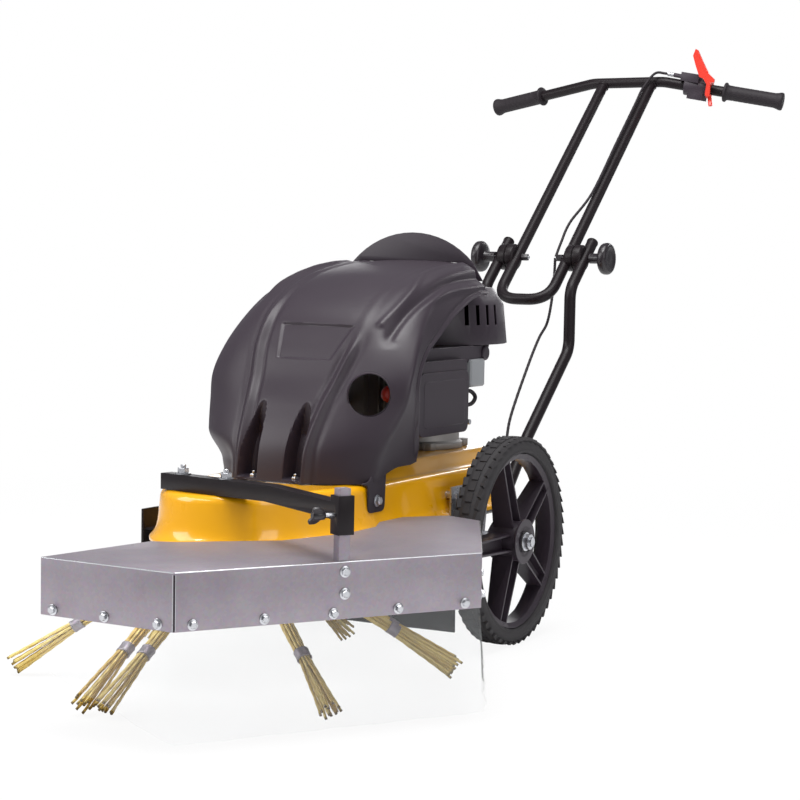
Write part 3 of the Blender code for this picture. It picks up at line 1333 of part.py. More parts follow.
def strands(start, end):
    """Wire ropes of a tuft: side by side down to the waist, then fanned towards uneven tips."""
    rng = random.Random(7)
    bm = bmesh.new()
    for place in strand_places():
        stop = end - rng.uniform(0.0, 0.010)
        waist = start + (end - start) * WAIST_AT
        rings = []
        for reach, scale in ((start, 1.0), (waist, 1.0), (stop, TIP_SPREAD)):
            middle = place * scale
            rings.append([bm.verts.new((middle.x + x, middle.y + y, reach))
                          for x, y in circle(STRAND_R, count=STRAND_SIDES)])
        for low, high in zip(rings, rings[1:]):
            for k in range(STRAND_SIDES):
                ahead = (k + 1) % STRAND_SIDES
                bm.faces.new((low[k], low[ahead], high[ahead], high[k]))
        bm.faces.new(rings[0][::-1])
        bm.faces.new(rings[-1])
    return from_bmesh("strands", bm, None, True)


def tuft_mesh():
    """One tuft about its own Z line: its root slice, which the socket holds, and its strands."""
    full = (BRUSH_R - SOCKET_START) / math.cos(TUFT_SLOPE)
    root = rod("tuft_root", (0, 0, 0), (0, 0, ROOT_LENGTH), ROOT_R, sides=SOCKET_SIDES, hidden=True)
    fan = strands(ROOT_LENGTH - 0.003, full - ROOT_AT)
    join(root, fan)
    bpy.context.view_layer.update()
    evaluated = root.evaluated_get(bpy.context.evaluated_depsgraph_get())
    mesh = bpy.data.meshes.new_from_object(evaluated)
    mesh.name = "tuft"
    for obj in (root, fan):
        bpy.data.objects.remove(obj, do_unlink=True)
    mesh.materials.clear()
    mesh.materials.append(MATERIALS["coated_wire"])
    return mesh


def tufts():
    """The tufts share one mesh. Each stands in its socket and is cut flat at the ground."""
    mesh = tuft_mesh()
    floor = box("cut_floor", (-0.5, -1.0, -0.05), (0.5, 0.0, 0.0), hidden=True)
    made = []
    for k, (degrees, aside) in enumerate(TUFTS):
        obj = bpy.data.objects.new(f"tuft_{k + 1}", mesh)
        PARTS.objects.link(obj)
        place = tuft_place(degrees, aside)
        along = place.to_3x3() @ Vector((math.cos(TUFT_SLOPE), 0, -math.sin(TUFT_SLOPE)))
        aim(obj, place @ tuft_point(ROOT_AT), along)
        cut(obj, floor)
        made.append(obj)
    return made


def brush_plate():
    """Disc on the spindle with a downward sloping socket for each tuft."""
    bore = SHAFT_R + GAP
    low = DISC_Z - DISC_T
    profile = [(0.026, DISC_Z + 0.006), (0.031, DISC_Z), (0.084, DISC_Z), (0.084, low), (0.030, low),
               (0.028, low - HUB_DROP), (bore, low - HUB_DROP), (bore, DISC_Z + 0.006)]
    obj = turned("brush_plate", profile, (0, BRUSH_Y, 0), (0, 0, 1), "black_paint", 20, True)
    places = [tuft_place(degrees, aside) for degrees, aside in TUFTS]
    for k, place in enumerate(places):
        start, end = place @ tuft_point(0.0), place @ tuft_point(SOCKET_LENGTH)
        join(obj, rod(f"socket_{k}", start, end, ROOT_R + SOCKET_WALL, sides=SOCKET_SIDES, hidden=True))
    for k, place in enumerate(places):
        deep, end = place @ tuft_point(ROOT_AT - GAP), place @ tuft_point(SOCKET_LENGTH + 0.02)
        cut(obj, rod(f"cut_socket_{k}", deep, end, ROOT_R + GAP, sides=SOCKET_SIDES, hidden=True))
    return shade(obj, 35)


def brush_spindle():
    """Spindle from the brush plate's nut up through the bearings to the pulley's nut."""
    plate_low = DISC_Z - DISC_T - HUB_DROP
    top = PULLEY_Z + BELT_HALF + 0.003 + 2 * GAP
    low = plate_low - GAP
    profile = [(0.0, top + 0.010), (0.009, top + 0.010), (0.009, top + 0.008), (0.017, top + 0.008), (0.017, top),
               (SHAFT_R, top), (SHAFT_R, low), (0.021, low), (0.021, low - 0.010), (0.0, low - 0.010)]
    return shade(turned("brush_spindle", profile, (0, BRUSH_Y, 0), (0, 0, 1), "steel", 16))


def chassis_parts():
    deck()
    base_plate()
    rear_flap()
    spindle_housing()
    spindle_bearing()
    drive_belt()
    crankcase()
    cylinder()
    spark_plug()
    blower_cover()
    recoil_starter()
    fuel_tank()
    air_filter_cover()
    carburettor()
    muffler()
    control_box()
    breather_hose()
    governor_bracket()
    hood()
    rear_shield()
    axle()
    guard_arm()
    arm_bolt(0, "arm_bolt_far")
    arm_bolt(1, "arm_bolt_near")
    lower_cable()
    for side, word in ((1, "left"), (-1, "right")):
        axle_bracket(side, f"axle_bracket_{word}")
        lower_tube(side, f"lower_tube_{word}")


def moving_parts():
    handle = joint_empty("handle_pivot", (0, *PIVOT))
    hang(handle, handle_frame(), grip(1, "grip_left"), grip(-1, "grip_right"), lever_housing(), upper_cable())
    lever_start = Vector((BAR_STRAIGHT, BAR_Y, BAR_Z))
    lever_out = (Vector(BAR_END) - lever_start).normalized()
    lever = joint_empty("lever_pivot", lever_start + lever_out * 0.1)
    hang(lever, control_lever())
    for side, word in ((1, "left"), (-1, "right")):
        hang(joint_empty(f"knob_pivot_{word}", (side * LOWER_X, *PIVOT)), clamp_knob(side, f"clamp_knob_{word}"))
        wheel = joint_empty(f"wheel_pivot_{word}", (side * WHEEL_X, 0, WHEEL_R))
        hang(wheel, tyre(side, f"tyre_{word}"), rim(side, f"rim_{word}"))
    rotor = joint_empty("rotor_axis", (0, BRUSH_Y, 0))
    hang(rotor, brush_spindle(), brush_pulley(), brush_plate(), *tufts())
    hang(joint_empty("crank_axis", (0, ENGINE_Y, 0)), crank_pulley())
    guard = joint_empty("guard_slide", (*post_place()[0], 0))
    hang(guard, guard_sheet(), guard_post(), guard_skirt())
    hang(joint_empty("guard_knob_axis", knob_line()[0]), guard_knob())
    hang(joint_empty("starter_slide", (0, ENGINE_Y, 0)), starter_grip())
    hang(joint_empty("primer_slide", HOLE_CENTRE), primer_bulb())


def centre_frame():
    """Moves the whole machine so that the origin is under the middle of its bounding box."""
    graph = bpy.context.evaluated_depsgraph_get()
    points = []
    for obj in PARTS.objects:
        mesh = obj.evaluated_get(graph).to_mesh()
        points += [obj.matrix_world @ v.co for v in mesh.vertices]
    middle = [(min(p[k] for p in points) + max(p[k] for p in points)) / 2 for k in (0, 1)]
    machine = joint_empty("machine", (0, 0, 0))
    for obj in list(bpy.data.objects):
        if obj.parent is None and obj is not machine:
            obj.parent = machine
    machine.location = (-middle[0], -middle[1], 0)
    bpy.context.view_layer.update()
    print(f"frame origin in machine coordinates: {middle[0]:.6f} {middle[1]:.6f}")


def main():
    global PARTS, CUTTERS
    clear_scene()
    PARTS = new_collection("weed_brush")
    CUTTERS = new_collection("cutters")
    make_materials()
    chassis_parts()
    moving_parts()
    bpy.context.view_layer.update()
    centre_frame()


main()
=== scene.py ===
# %% [markdown]
# # Patio weed brush: looks
#
# The real machine is a petrol weed brush: a pressed steel deck carries an engine under a plastic hood, and
# a rotor of wire tufts turns below a one-sided sheet metal guard. The solid parts come from the CAD model.
# This lesson gives them a studio, a camera, real finishes and the detail that the CAD leaves out.

# %% Load the CAD model
import math
import random

import bmesh
import bpy
import numpy as np
from mathutils import Matrix, Vector


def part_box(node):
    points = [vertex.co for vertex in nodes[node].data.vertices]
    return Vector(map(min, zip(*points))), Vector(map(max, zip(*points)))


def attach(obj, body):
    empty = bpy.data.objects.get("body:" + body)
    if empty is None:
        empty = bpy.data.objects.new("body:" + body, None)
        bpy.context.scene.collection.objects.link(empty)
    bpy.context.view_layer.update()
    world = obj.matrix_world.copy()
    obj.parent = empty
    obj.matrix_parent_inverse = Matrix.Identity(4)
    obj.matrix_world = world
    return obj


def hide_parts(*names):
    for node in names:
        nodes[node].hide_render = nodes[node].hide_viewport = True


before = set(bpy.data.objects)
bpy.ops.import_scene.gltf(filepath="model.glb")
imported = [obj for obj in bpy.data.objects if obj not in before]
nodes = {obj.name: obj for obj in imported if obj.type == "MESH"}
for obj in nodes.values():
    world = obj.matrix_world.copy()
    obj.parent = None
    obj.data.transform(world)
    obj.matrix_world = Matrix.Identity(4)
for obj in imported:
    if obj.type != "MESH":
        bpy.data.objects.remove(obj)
scene = bpy.context.scene
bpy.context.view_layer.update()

# %% [markdown]
# The CAD model was drawn with its origin under the middle of the axle and then moved, so that the box's
# middle stands at the origin. Sizes are easier to think of from the axle, so one small function turns a
# place measured from the ground under the axle's middle into a place in the scene.

# %% Places measured from the axle
axle_low, axle_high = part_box("axle")
DATUM = Vector(((axle_low.x + axle_high.x) / 2, (axle_low.y + axle_high.y) / 2, 0.0))
X_WAY, Y_WAY, Z_WAY = Vector((1, 0, 0)), Vector((0, 1, 0)), Vector((0, 0, 1))
SIDES = ((-1, "right"), (1, "left"))


def at(x, y, z):
    return Vector((x, y, z)) + DATUM


print("ground under the axle", [round(value, 6) for value in DATUM])

# %% [markdown]
# ## Camera
#
# The photograph was taken with a longish lens from the machine's front left, a little above the middle of
# the machine. The camera's place and turn were worked out from the wheel, the handle and the guard's
# edges. A camera looks along its own -Z, so its axes are written as the columns of a matrix.

# %% Camera at the photograph's place


def add_object(name, data):
    made = bpy.data.objects.new(name, data)
    scene.collection.objects.link(made)
    return made


SENSOR_MM, FOCAL_PIXELS, PICTURE_PIXELS = 36.0, 2031.83, 800
yaw, pitch, roll = math.radians(28.953), math.radians(4.238), math.radians(1.022)
level_right = Vector((math.cos(yaw), math.sin(yaw), 0))
level_ahead = Vector((-math.sin(yaw), math.cos(yaw), 0))
ahead = level_ahead * math.cos(pitch) - Z_WAY * math.sin(pitch)
raised = level_ahead * math.sin(pitch) + Z_WAY * math.cos(pitch)
right = level_right * math.cos(roll) + raised * math.sin(roll)
top = raised * math.cos(roll) - level_right * math.sin(roll)

camera_data = bpy.data.cameras.new("photo_camera")
camera_data.sensor_width = SENSOR_MM
camera_data.lens = SENSOR_MM * FOCAL_PIXELS / PICTURE_PIXELS
camera = add_object("photo_camera", camera_data)
turn = Matrix((right, top, -ahead)).transposed().to_4x4()
camera.matrix_world = Matrix.Translation(at(1.701, -3.051, 0.658)) @ turn
scene.camera = camera
print("lens", round(camera_data.lens, 2), "mm")

# %% [markdown]
# ## Small tools
#
# A colour picked from a picture is an sRGB hex value, but shaders count in linear light, so one function
# turns the one into the other. `node` adds a node with its settings, values and links in one line. An input
# takes a plain value, a socket, or another node, whose first output in use is then linked to it.

# %% Colour and node helpers


def linear(hex_value):
    channels = [int(hex_value[k:k + 2], 16) / 255 for k in (0, 2, 4)]
    return tuple(c / 12.92 if c <= 0.04045 else ((c + 0.055) / 1.055) ** 2.4 for c in channels) + (1.0,)


def fill(tree, made, inputs):
    """Sets a node's inputs, and links those that are given a socket or another node."""
    for name, value in inputs.items():
        if isinstance(value, bpy.types.Node):
            value = next(socket for socket in value.outputs if socket.enabled)
        if isinstance(value, bpy.types.NodeSocket):
            tree.links.new(value, made.inputs[name])
        else:
            made.inputs[name].default_value = value


def node(tree, kind, inputs=None, **settings):
    made = tree.nodes.new(kind)
    for name, value in settings.items():
        setattr(made, name, value)
    fill(tree, made, inputs or {})
    return made


def bare_finish(name, colour, roughness, metallic=0.0, specular=0.5, extra=None):
    """A material with its shader, and the object coordinates that its patterns start from."""
    material = bpy.data.materials.new(name)
    material.use_nodes = True
    tree = material.node_tree
    shader = tree.nodes["Principled BSDF"]
    fill(tree, shader, {"Base Color": linear(colour), "Roughness": roughness, "Metallic": metallic,
                        "Specular IOR Level": specular, **(extra or {})})
    return material, tree, shader, node(tree, "ShaderNodeTexCoord").outputs["Object"]


print("yellow in linear light", [round(value, 3) for value in linear("F5B50C")])

# %% [markdown]
# ## Studio
#
# A product picture like this one is lit by large soft boxes in a white room. The floor is a big pale
# sheet. Seen straight by the camera it is nearly white, through Light Path's Is Camera Ray, yet it still
# takes the machine's soft shadow. The lamps stay at a plain level, so that colours render as written.

# %% Floor, world and lamps
WHITE = (1, 1, 1, 1)
floor_mesh = bpy.data.meshes.new("floor")
floor_mesh.from_pydata([(-9, -9, 0), (9, -9, 0), (9, 9, 0), (-9, 9, 0)], [], [(0, 1, 2, 3)])
floor = add_object("floor", floor_mesh)
floor.location.z = -0.0005

paper, tree, shader, place = bare_finish("white_paper_sweep", "F4F4F4", 0.9)
reach = node(tree, "ShaderNodeVectorMath", {0: place}, operation="LENGTH")
fade = node(tree, "ShaderNodeMapRange", {"Value": reach, "From Min": 0.9, "From Max": 2.6, "To Min": 0.91,
                                         "To Max": 1.0})
camera_ray = node(tree, "ShaderNodeLightPath").outputs["Is Camera Ray"]
share = node(tree, "ShaderNodeMath", {0: camera_ray, 1: fade}, operation="MULTIPLY")
white = node(tree, "ShaderNodeEmission", {"Color": WHITE, "Strength": 1.0})
mixed = node(tree, "ShaderNodeMixShader", {0: share, 1: shader, 2: white})
fill(tree, tree.nodes["Material Output"], {"Surface": mixed})
floor_mesh.materials.append(paper)

world = bpy.data.worlds.new("white_room")
scene.world = world
world.use_nodes = True
tree = world.node_tree
room = tree.nodes["Background"]
fill(tree, room, {"Color": (0.93, 0.95, 1.0, 1), "Strength": 0.27})
seen = node(tree, "ShaderNodeBackground", {"Color": WHITE, "Strength": 1.0})
camera_ray = node(tree, "ShaderNodeLightPath").outputs["Is Camera Ray"]
mixed = node(tree, "ShaderNodeMixShader", {0: camera_ray, 1: room, 2: seen})
fill(tree, tree.nodes["World Output"], {"Surface": mixed})


def soft_box(name, place, aim_at, width, height, watts):
    data = bpy.data.lights.new(name, "AREA")
    data.shape = "RECTANGLE"
    data.size, data.size_y = width, height
    data.energy = watts
    lamp = add_object(name, data)
    lamp.location = place
    lamp.visible_camera = False
    lamp.rotation_euler = (Vector(aim_at) - Vector(place)).to_track_quat("-Z", "Y").to_euler()


soft_box("left_box", (-2.4, -2.2, 1.9), (0, -0.2, 0.5), 1.6, 1.8, 44)
soft_box("left_strip", (-1.3, -2.9, 2.7), (0, -0.4, 0.3), 1.1, 0.12, 16)
soft_box("right_box", (2.9, -0.9, 1.7), (0, -0.2, 0.5), 1.4, 1.8, 20)
soft_box("back_box", (-1.6, 4.2, 1.3), (0, -0.4, 0.3), 3.4, 1.2, 40)
soft_box("rear_strip", (1.1, 3.5, 2.2), (0, -0.2, 0.4), 1.6, 0.14, 10)
soft_box("top_strip", (0.2, -0.9, 3.0), (0, -0.4, 0.3), 1.4, 0.16, 14)
soft_box("top_box", (0.2, -0.5, 3.2), (0, -0.2, 0.4), 2.2, 2.2, 102)
scene.view_settings.view_transform = "Standard"

# %% [markdown]
# ## Finishes
#
# Most real surfaces differ from a plain colour in three ways: their colour varies a little, their gloss
# varies, and they aren't flat. So `finish` takes up to three noises. A noise's scale counts its waves in a
# metre.
#
# ### Powder-coated pressed steel
# The deck is deep-drawn sheet with a thick glossy powder coat. Powder melts into a skin with a faint
# orange peel of about 4 mm waves, so the highlights are sharp but gently broken. The bump is drawn a
# little coarser than real, because the real one is too fine to show at this distance.

# %% Yellow powder coat


def finish(*basics, tones=None, gloss=None, bumps=None, **more):
    """A material with up to three noises, each given by its scale, its detail and a pair of values. Tones mix two
    colours, gloss spreads the roughness between two values, and bumps have a strength and a height."""
    material, tree, shader, place = bare_finish(*basics, **more)
    for row, target in ((tones, "Base Color"), (gloss, "Roughness"), (bumps, "Normal")):
        if not row:
            continue
        scale, detail, low, high = row
        waves = node(tree, "ShaderNodeTexNoise", {"Vector": place, "Scale": scale, "Detail": detail})
        if target == "Base Color":
            driven = node(tree, "ShaderNodeMix", {"Factor": waves, "A": linear(low), "B": linear(high)},
                          data_type="RGBA")
        elif target == "Roughness":
            driven = node(tree, "ShaderNodeMapRange", {"Value": waves, "To Min": low, "To Max": high})
        else:
            driven = node(tree, "ShaderNodeBump", {"Height": waves, "Strength": low, "Distance": high})
        fill(tree, shader, {target: driven})
    return material


PEEL_WAVES = 260.0
yellow_coat = finish("yellow_powder_coat", "F6B30A", 0.30, specular=0.3, tones=(9.0, 4.0, "EFA803", "F8B407"),
                     gloss=(9.0, 4.0, 0.24, 0.34), bumps=(PEEL_WAVES, 1.0, 0.06, 0.0006),
                     extra={"Coat Weight": 0.8, "Coat Roughness": 0.05})
print("orange peel wave", round(1000 / PEEL_WAVES, 1), "mm")

# %% [markdown]
# ### Moulded black plastic
# The hood, the engine covers and the shield are moulded polypropylene. The mould is spark eroded, which
# leaves an even fine grain of about 1 mm, so the surface is dark grey with broad soft highlights and never
# mirror bright. Handling leaves slightly shinier patches.

# %% Black moulded plastic
GRAIN_WAVES = 900.0
hood_plastic = finish("moulded_polypropylene", "2F282F", 0.42, specular=0.36, tones=(7.0, 3.0, "2C242C", "352D35"),
                      gloss=(7.0, 3.0, 0.34, 0.48), bumps=(GRAIN_WAVES, 2.0, 0.18, 0.0004))
print("grain", round(1000 / GRAIN_WAVES, 2), "mm")

# %% [markdown]
# ### Satin black powder coat
# Tubes and brackets have a thin satin coat over steel. It is smoother than the plastic, so a narrow bright
# line runs along each tube.

# %% Black powder coat
RIPPLE_WAVES = 700.0
tube_coat = finish("satin_black_powder_coat", "1A1417", 0.38, specular=0.2, gloss=(30.0, 5.0, 0.32, 0.44),
                   bumps=(RIPPLE_WAVES, 1.0, 0.01, 0.00005))
print("ripple", round(1000 / RIPPLE_WAVES, 2), "mm")

# %% [markdown]
# ### Galvanised sheet
# The guard is bent from hot-dip galvanised sheet. Its zinc skin freezes in crystals, the spangle, each a
# few millimetres wide and each reflecting a little differently. A Voronoi pattern gives the crystals, and
# a slow noise makes broad patches of the sheet a little paler or darker.

# %% Galvanised sheet
SPANGLES = 240.0
galvanised, tree, shader, place = bare_finish("galvanised_sheet", "9A969C", 0.42, 0.75)
spangle = node(tree, "ShaderNodeTexVoronoi", {"Vector": place, "Scale": SPANGLES}).outputs
clouds = node(tree, "ShaderNodeTexNoise", {"Vector": place, "Scale": 22.0, "Detail": 6.0})
mottle = node(tree, "ShaderNodeMix", {"Factor": clouds, "A": linear("928A92"), "B": linear("A39BA3")},
              data_type="RGBA")
tinted = node(tree, "ShaderNodeMix", {"Factor": 0.08, "A": mottle, "B": spangle["Color"]}, data_type="RGBA",
              blend_type="SOFT_LIGHT")
glint = node(tree, "ShaderNodeMapRange", {"Value": spangle["Distance"], "From Max": 0.004, "To Min": 0.36,
                                          "To Max": 0.50})
fill(tree, shader, {"Base Color": tinted, "Roughness": glint})
print("spangle about", round(1000 / SPANGLES, 1), "mm")

# %% [markdown]
# ### Zinc plate, cast metal and turned steel
# Bolts and nuts are bright zinc plated. The engine castings are sand-blasted aluminium, dull and slightly
# pitted. Shafts and pulleys are turned steel with fine rings left by the tool.

# %% Zinc, castings and steel
zinc_plate = finish("zinc_plated_steel", "C3C4C8", 0.28, 1.0, gloss=(160.0, 3.0, 0.20, 0.40))
casting = finish("blasted_aluminium_casting", "A19E9C", 0.55, 0.9, bumps=(420.0, 3.0, 0.30, 0.0006))
turned_steel = finish("turned_steel", "8F9094", 0.33, 1.0, tones=(14.0, 4.0, "83848A", "9C9A98"))
print("metals", zinc_plate.name, casting.name, turned_steel.name)

# %% [markdown]
# ### Rubber
# Tyres, grips, flap and cables are black rubber compounds, loaded with soot. Rubber is matt, its surface
# is dusted with bloom, and its colour is never quite black.

# %% Tyre and grip rubber
tyre_rubber = finish("tyre_rubber", "2B292B", 0.78, tones=(35.0, 5.0, "252325", "322F31"),
                     bumps=(600.0, 2.0, 0.2, 0.0005))
grip_rubber, tree, shader, place = bare_finish("soft_grip_rubber", "241F23", 0.60, specular=0.28)
pebble = node(tree, "ShaderNodeTexVoronoi", {"Vector": place, "Scale": 650.0})
fill(tree, shader, {"Normal": node(tree, "ShaderNodeBump", {"Height": pebble, "Strength": 0.25,
                                                            "Distance": 0.0004})})
print("rubbers", tyre_rubber.name, grip_rubber.name)

# %% [markdown]
# ### Clear film, coated wire and coloured plastics
# The skirt is soft clear PVC film: it shows mostly by its edge shine and a faint grey veil. The brush's
# ropes are twisted steel wire with a yellow lacquer, which varies from rope to rope, so its shade comes from a
# random number for each rope, and a second mark makes the cut ends dark. The lever and primer bulb are glossy
# red, the control box satin grey.

# %% Film, wire and plastics
FILM_ALPHA = 0.055
clear_film = finish("clear_pvc_film", "EEF1F2", 0.12, specular=0.6, bumps=(12.0, 2.0, 0.25, 0.004),
                    extra={"Alpha": FILM_ALPHA})

brush_wire, tree, shader, place = bare_finish("lacquered_steel_wire", "D9C36A", 0.42, 0.15)
lacquer, dark_tip = (node(tree, "ShaderNodeAttribute", attribute_name=name).outputs["Fac"]
                 for name in ("wire_tone", "wire_end"))
shade = node(tree, "ShaderNodeMix", {"Factor": lacquer, "A": linear("C4A044"), "B": linear("F0DC8C")},
             data_type="RGBA")
# The last millimetres of each rope are drawn darker.
fill(tree, shader, {"Base Color": node(tree, "ShaderNodeMix", {"Factor": dark_tip, "A": shade, "B": linear("5E4A22")},
                                       data_type="RGBA")})

red_plastic = finish("glossy_red_abs", "E03A2A", 0.28, gloss=(120.0, 2.0, 0.22, 0.36))
grey_plastic = finish("satin_grey_nylon", "8E9093", 0.45, bumps=(800.0, 2.0, 0.15, 0.0003))
print("film alpha", FILM_ALPHA)

# %% [markdown]
# ## Finishes on the CAD pieces
#
# Each CAD piece keeps its shape and takes the finish that its part has on the real machine. CAD meshes
# arrive as loose triangles, so their smooth shading is set by the angle between faces.

# %% Give each CAD piece its finish
TUFT_NODES = [f"tuft_{k}" for k in range(1, 9)]
coats = {
    yellow_coat: ["deck"],
    hood_plastic: ["hood", "rear_shield", "blower_cover", "recoil_starter", "fuel_tank", "air_filter_cover",
                   "lever_housing", "clamp_knob_left", "clamp_knob_right", "rim_left", "rim_right",
                   "guard_knob", "starter_grip", "spark_plug"],
    tube_coat: ["base_plate", "lower_tube_left", "lower_tube_right", "guard_arm", "handle_frame",
                "brush_plate"],
    galvanised: ["guard_sheet", "guard_post"],
    zinc_plate: ["axle", "axle_bracket_left", "axle_bracket_right", "arm_bolt_far", "arm_bolt_near",
                 "governor_bracket"],
    casting: ["crankcase", "cylinder", "carburettor", "spindle_housing", "brush_pulley"],
    turned_steel: ["spindle_bearing", "brush_spindle", "crank_pulley", "muffler"],
    tyre_rubber: ["tyre_left", "tyre_right", "rear_flap", "drive_belt"],
    grip_rubber: ["grip_left", "grip_right", "upper_cable", "lower_cable", "breather_hose"],
    clear_film: ["guard_skirt"],
    brush_wire: TUFT_NODES,
    red_plastic: ["control_lever", "primer_bulb"],
    grey_plastic: ["control_box"],
}
for coat, names in coats.items():
    for name in names:
        nodes[name].data.materials.clear()
        nodes[name].data.materials.append(coat)
print("finished", sum(len(names) for names in coats.values()), "of", len(nodes), "CAD pieces")

# %% [markdown]
# ## Making pieces
#
# These tools are shared by the detail pieces below. `piece` turns a mesh under construction into a finished
# object, shades it smooth except along its sharp edges, and lets it ride on a CAD body. `grown` runs a
# Geometry Nodes tree once on a starting mesh and keeps the result as a plain mesh.

# %% Helpers for pieces


def mesh_of(bm, name):
    mesh = bpy.data.meshes.new(name)
    bm.to_mesh(mesh)
    bm.free()
    return mesh


def place_piece(mesh, name, coat, body, stands_for=(), crease=32):
    if coat:
        mesh.materials.clear()
        mesh.materials.append(coat)
    mesh.shade_smooth()
    mesh.set_sharp_from_angle(angle=math.radians(crease))
    made = add_object(name, mesh)
    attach(made, body)
    if stands_for:
        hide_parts(*stands_for)
    return made


def piece(bm, name, coat, body, stands_for=(), crease=32):
    return place_piece(mesh_of(bm, name), name, coat, body, stands_for, crease)


def plain_mesh(host, name):
    """What an object's modifiers make of it, as a plain mesh."""
    bpy.context.view_layer.update()
    mesh = bpy.data.meshes.new_from_object(host.evaluated_get(bpy.context.evaluated_depsgraph_get()))
    mesh.name = name
    return mesh


def nodes_tree(name, inputs):
    """A Geometry Nodes tree with named number inputs."""
    tree = bpy.data.node_groups.new(name, "GeometryNodeTree")
    tree.interface.new_socket("Geometry", in_out="INPUT", socket_type="NodeSocketGeometry")
    for label, kind, value in inputs:
        socket = tree.interface.new_socket(label, in_out="INPUT", socket_type=f"NodeSocket{kind}")
        socket.default_value = value
    tree.interface.new_socket("Geometry", in_out="OUTPUT", socket_type="NodeSocketGeometry")
    return tree, node(tree, "NodeGroupInput").outputs, node(tree, "NodeGroupOutput")


def end_tree(tree, geometry, coat, out):
    """Makes a tree's instances real and gives them their material."""
    whole = node(tree, "GeometryNodeRealizeInstances", {"Geometry": geometry})
    fill(tree, out, {"Geometry": node(tree, "GeometryNodeSetMaterial", {"Geometry": whole, "Material": coat})})


def grown(tree, seed_mesh, values):
    """Runs a tree on a mesh with the given input values, and keeps what grows as a plain mesh."""
    host = add_object(tree.name, seed_mesh)
    modifier = host.modifiers.new(tree.name, "NODES")
    modifier.node_group = tree
    for item in tree.interface.items_tree:
        if item.item_type == "SOCKET" and item.in_out == "INPUT" and item.name in values:
            modifier[item.identifier] = values[item.name]
    mesh = plain_mesh(host, tree.name)
    host.modifiers.remove(modifier)
    bpy.data.objects.remove(host)
    return mesh


print("helpers for pieces ready")

# %% [markdown]
# ## Edges of the CAD pieces
#
# A CAD mesh is a heap of loose triangles with knife sharp edges, but no real edge is perfectly sharp: sheet
# is bent round a radius and plastic is moulded with one. A modifier can't change the CAD mesh itself, and it
# doesn't have to. Weld joins the triangles, Decimate merges those that lie flat, Bevel rounds the edges, and a
# small Geometry Nodes tree then shades everything smooth except where two faces still meet at a steep angle.

# %% Soften the edges of CAD pieces


def round_edges(host, width, angle=30, segments=2):
    edge = host.modifiers.new("Edge radius", "BEVEL")
    edge.width, edge.segments = width, segments
    edge.limit_method = "ANGLE"
    edge.angle_limit = math.radians(angle)


soften, given, out = nodes_tree("soft_shading", [("Sharp above", "Float", 0.6)])
smooth = node(soften, "GeometryNodeSetShadeSmooth", {"Geometry": given["Geometry"]}, domain="FACE")
steep = node(soften, "FunctionNodeCompare", {"A": node(soften, "GeometryNodeInputMeshEdgeAngle"),
                                             "B": given["Sharp above"]}, operation="LESS_THAN")
edges = node(soften, "GeometryNodeSetShadeSmooth", {"Geometry": smooth, "Shade Smooth": steep}, domain="EDGE")
fill(soften, out, {"Geometry": edges})


def soften_edges(name, width):
    """Rounds a CAD node's edges by a width in metres, with live modifiers."""
    host = nodes[name]
    host.modifiers.new("Join triangles", "WELD").merge_threshold = 0.00002
    if width:
        flat = host.modifiers.new("Plain faces", "DECIMATE")
        flat.decimate_type = "DISSOLVE"
        flat.angle_limit = math.radians(0.6)
        round_edges(host, width, 42)
    host.modifiers.new("Shading", "NODES").node_group = soften


REDRAWN = {"hood", "tyre_left", "tyre_right", "rear_flap", "upper_cable", "lower_cable", "breather_hose",
           "guard_skirt", *TUFT_NODES}
edge_widths = dict.fromkeys([name for name in nodes if name not in REDRAWN], 0.0)
edge_widths.update(dict.fromkeys(["deck", "base_plate", "rear_shield", "blower_cover", "recoil_starter", "fuel_tank",
                                  "crankcase", "control_box", "lever_housing", "guard_arm", "guard_post",
                                  "rim_left", "rim_right"], 0.0008))
edge_widths["guard_sheet"] = 0.0012
for name, width in edge_widths.items():
    soften_edges(name, width)
print("softened", len(edge_widths), "pieces")

# %% [markdown]
# ## Brush tufts
#
# Eight tufts reach out and down from the rotor. Each is a bundle of twelve coated wire ropes, about 4 mm
# thick, laid side by side. A zinc band crimped round the bundle half way pinches it, and below the band the
# ropes fan out to uneven tips. The ropes only differ in their path, so Geometry Nodes sweep one lobed
# profile, the cross section of a twisted rope, along every path and turn it as it goes. Each rope gets its
# own shade, and its last millimetres are marked, so that the material draws them darker.

# %% Rope paths
TUFTS = [(33, -0.0185), (33, 0.0185), (90, 0), (150, 0), (210, 0), (267.5, -0.0185), (267.5, 0.0185), (327, 0)]
BRUSH_MIDDLE = at(0.0, -0.483, 0.0)
BRUSH_REACH, SOCKET_REACH = 0.343, 0.066
TUFT_TIP, TUFT_ROOT = 0.0126, 0.19247
TUFT_LEAN = math.atan2(TUFT_ROOT - TUFT_TIP, BRUSH_REACH - SOCKET_REACH)
TUFT_FULL = (BRUSH_REACH - SOCKET_REACH) / math.cos(TUFT_LEAN)
BAND_AT, TIP_AT = 0.208, TUFT_FULL - 0.003
ROPE_R, ROPE_START, ROPE_STEPS = 0.0022, 0.040, 24
ROPE_CIRCLES = [(0.0027, 3), (0.0078, 9)]


def tuft_frame(degrees, aside):
    """A tuft's start, its direction down to the ground, and its two cross directions."""
    angle = math.radians(degrees)
    out_way = Vector((math.cos(angle), math.sin(angle), 0))
    across = Vector((-math.sin(angle), math.cos(angle), 0))
    start = BRUSH_MIDDLE + out_way * SOCKET_REACH + across * aside + Z_WAY * TUFT_ROOT
    along = out_way * math.cos(TUFT_LEAN) - Z_WAY * math.sin(TUFT_LEAN)
    return start, along, across, along.cross(across)


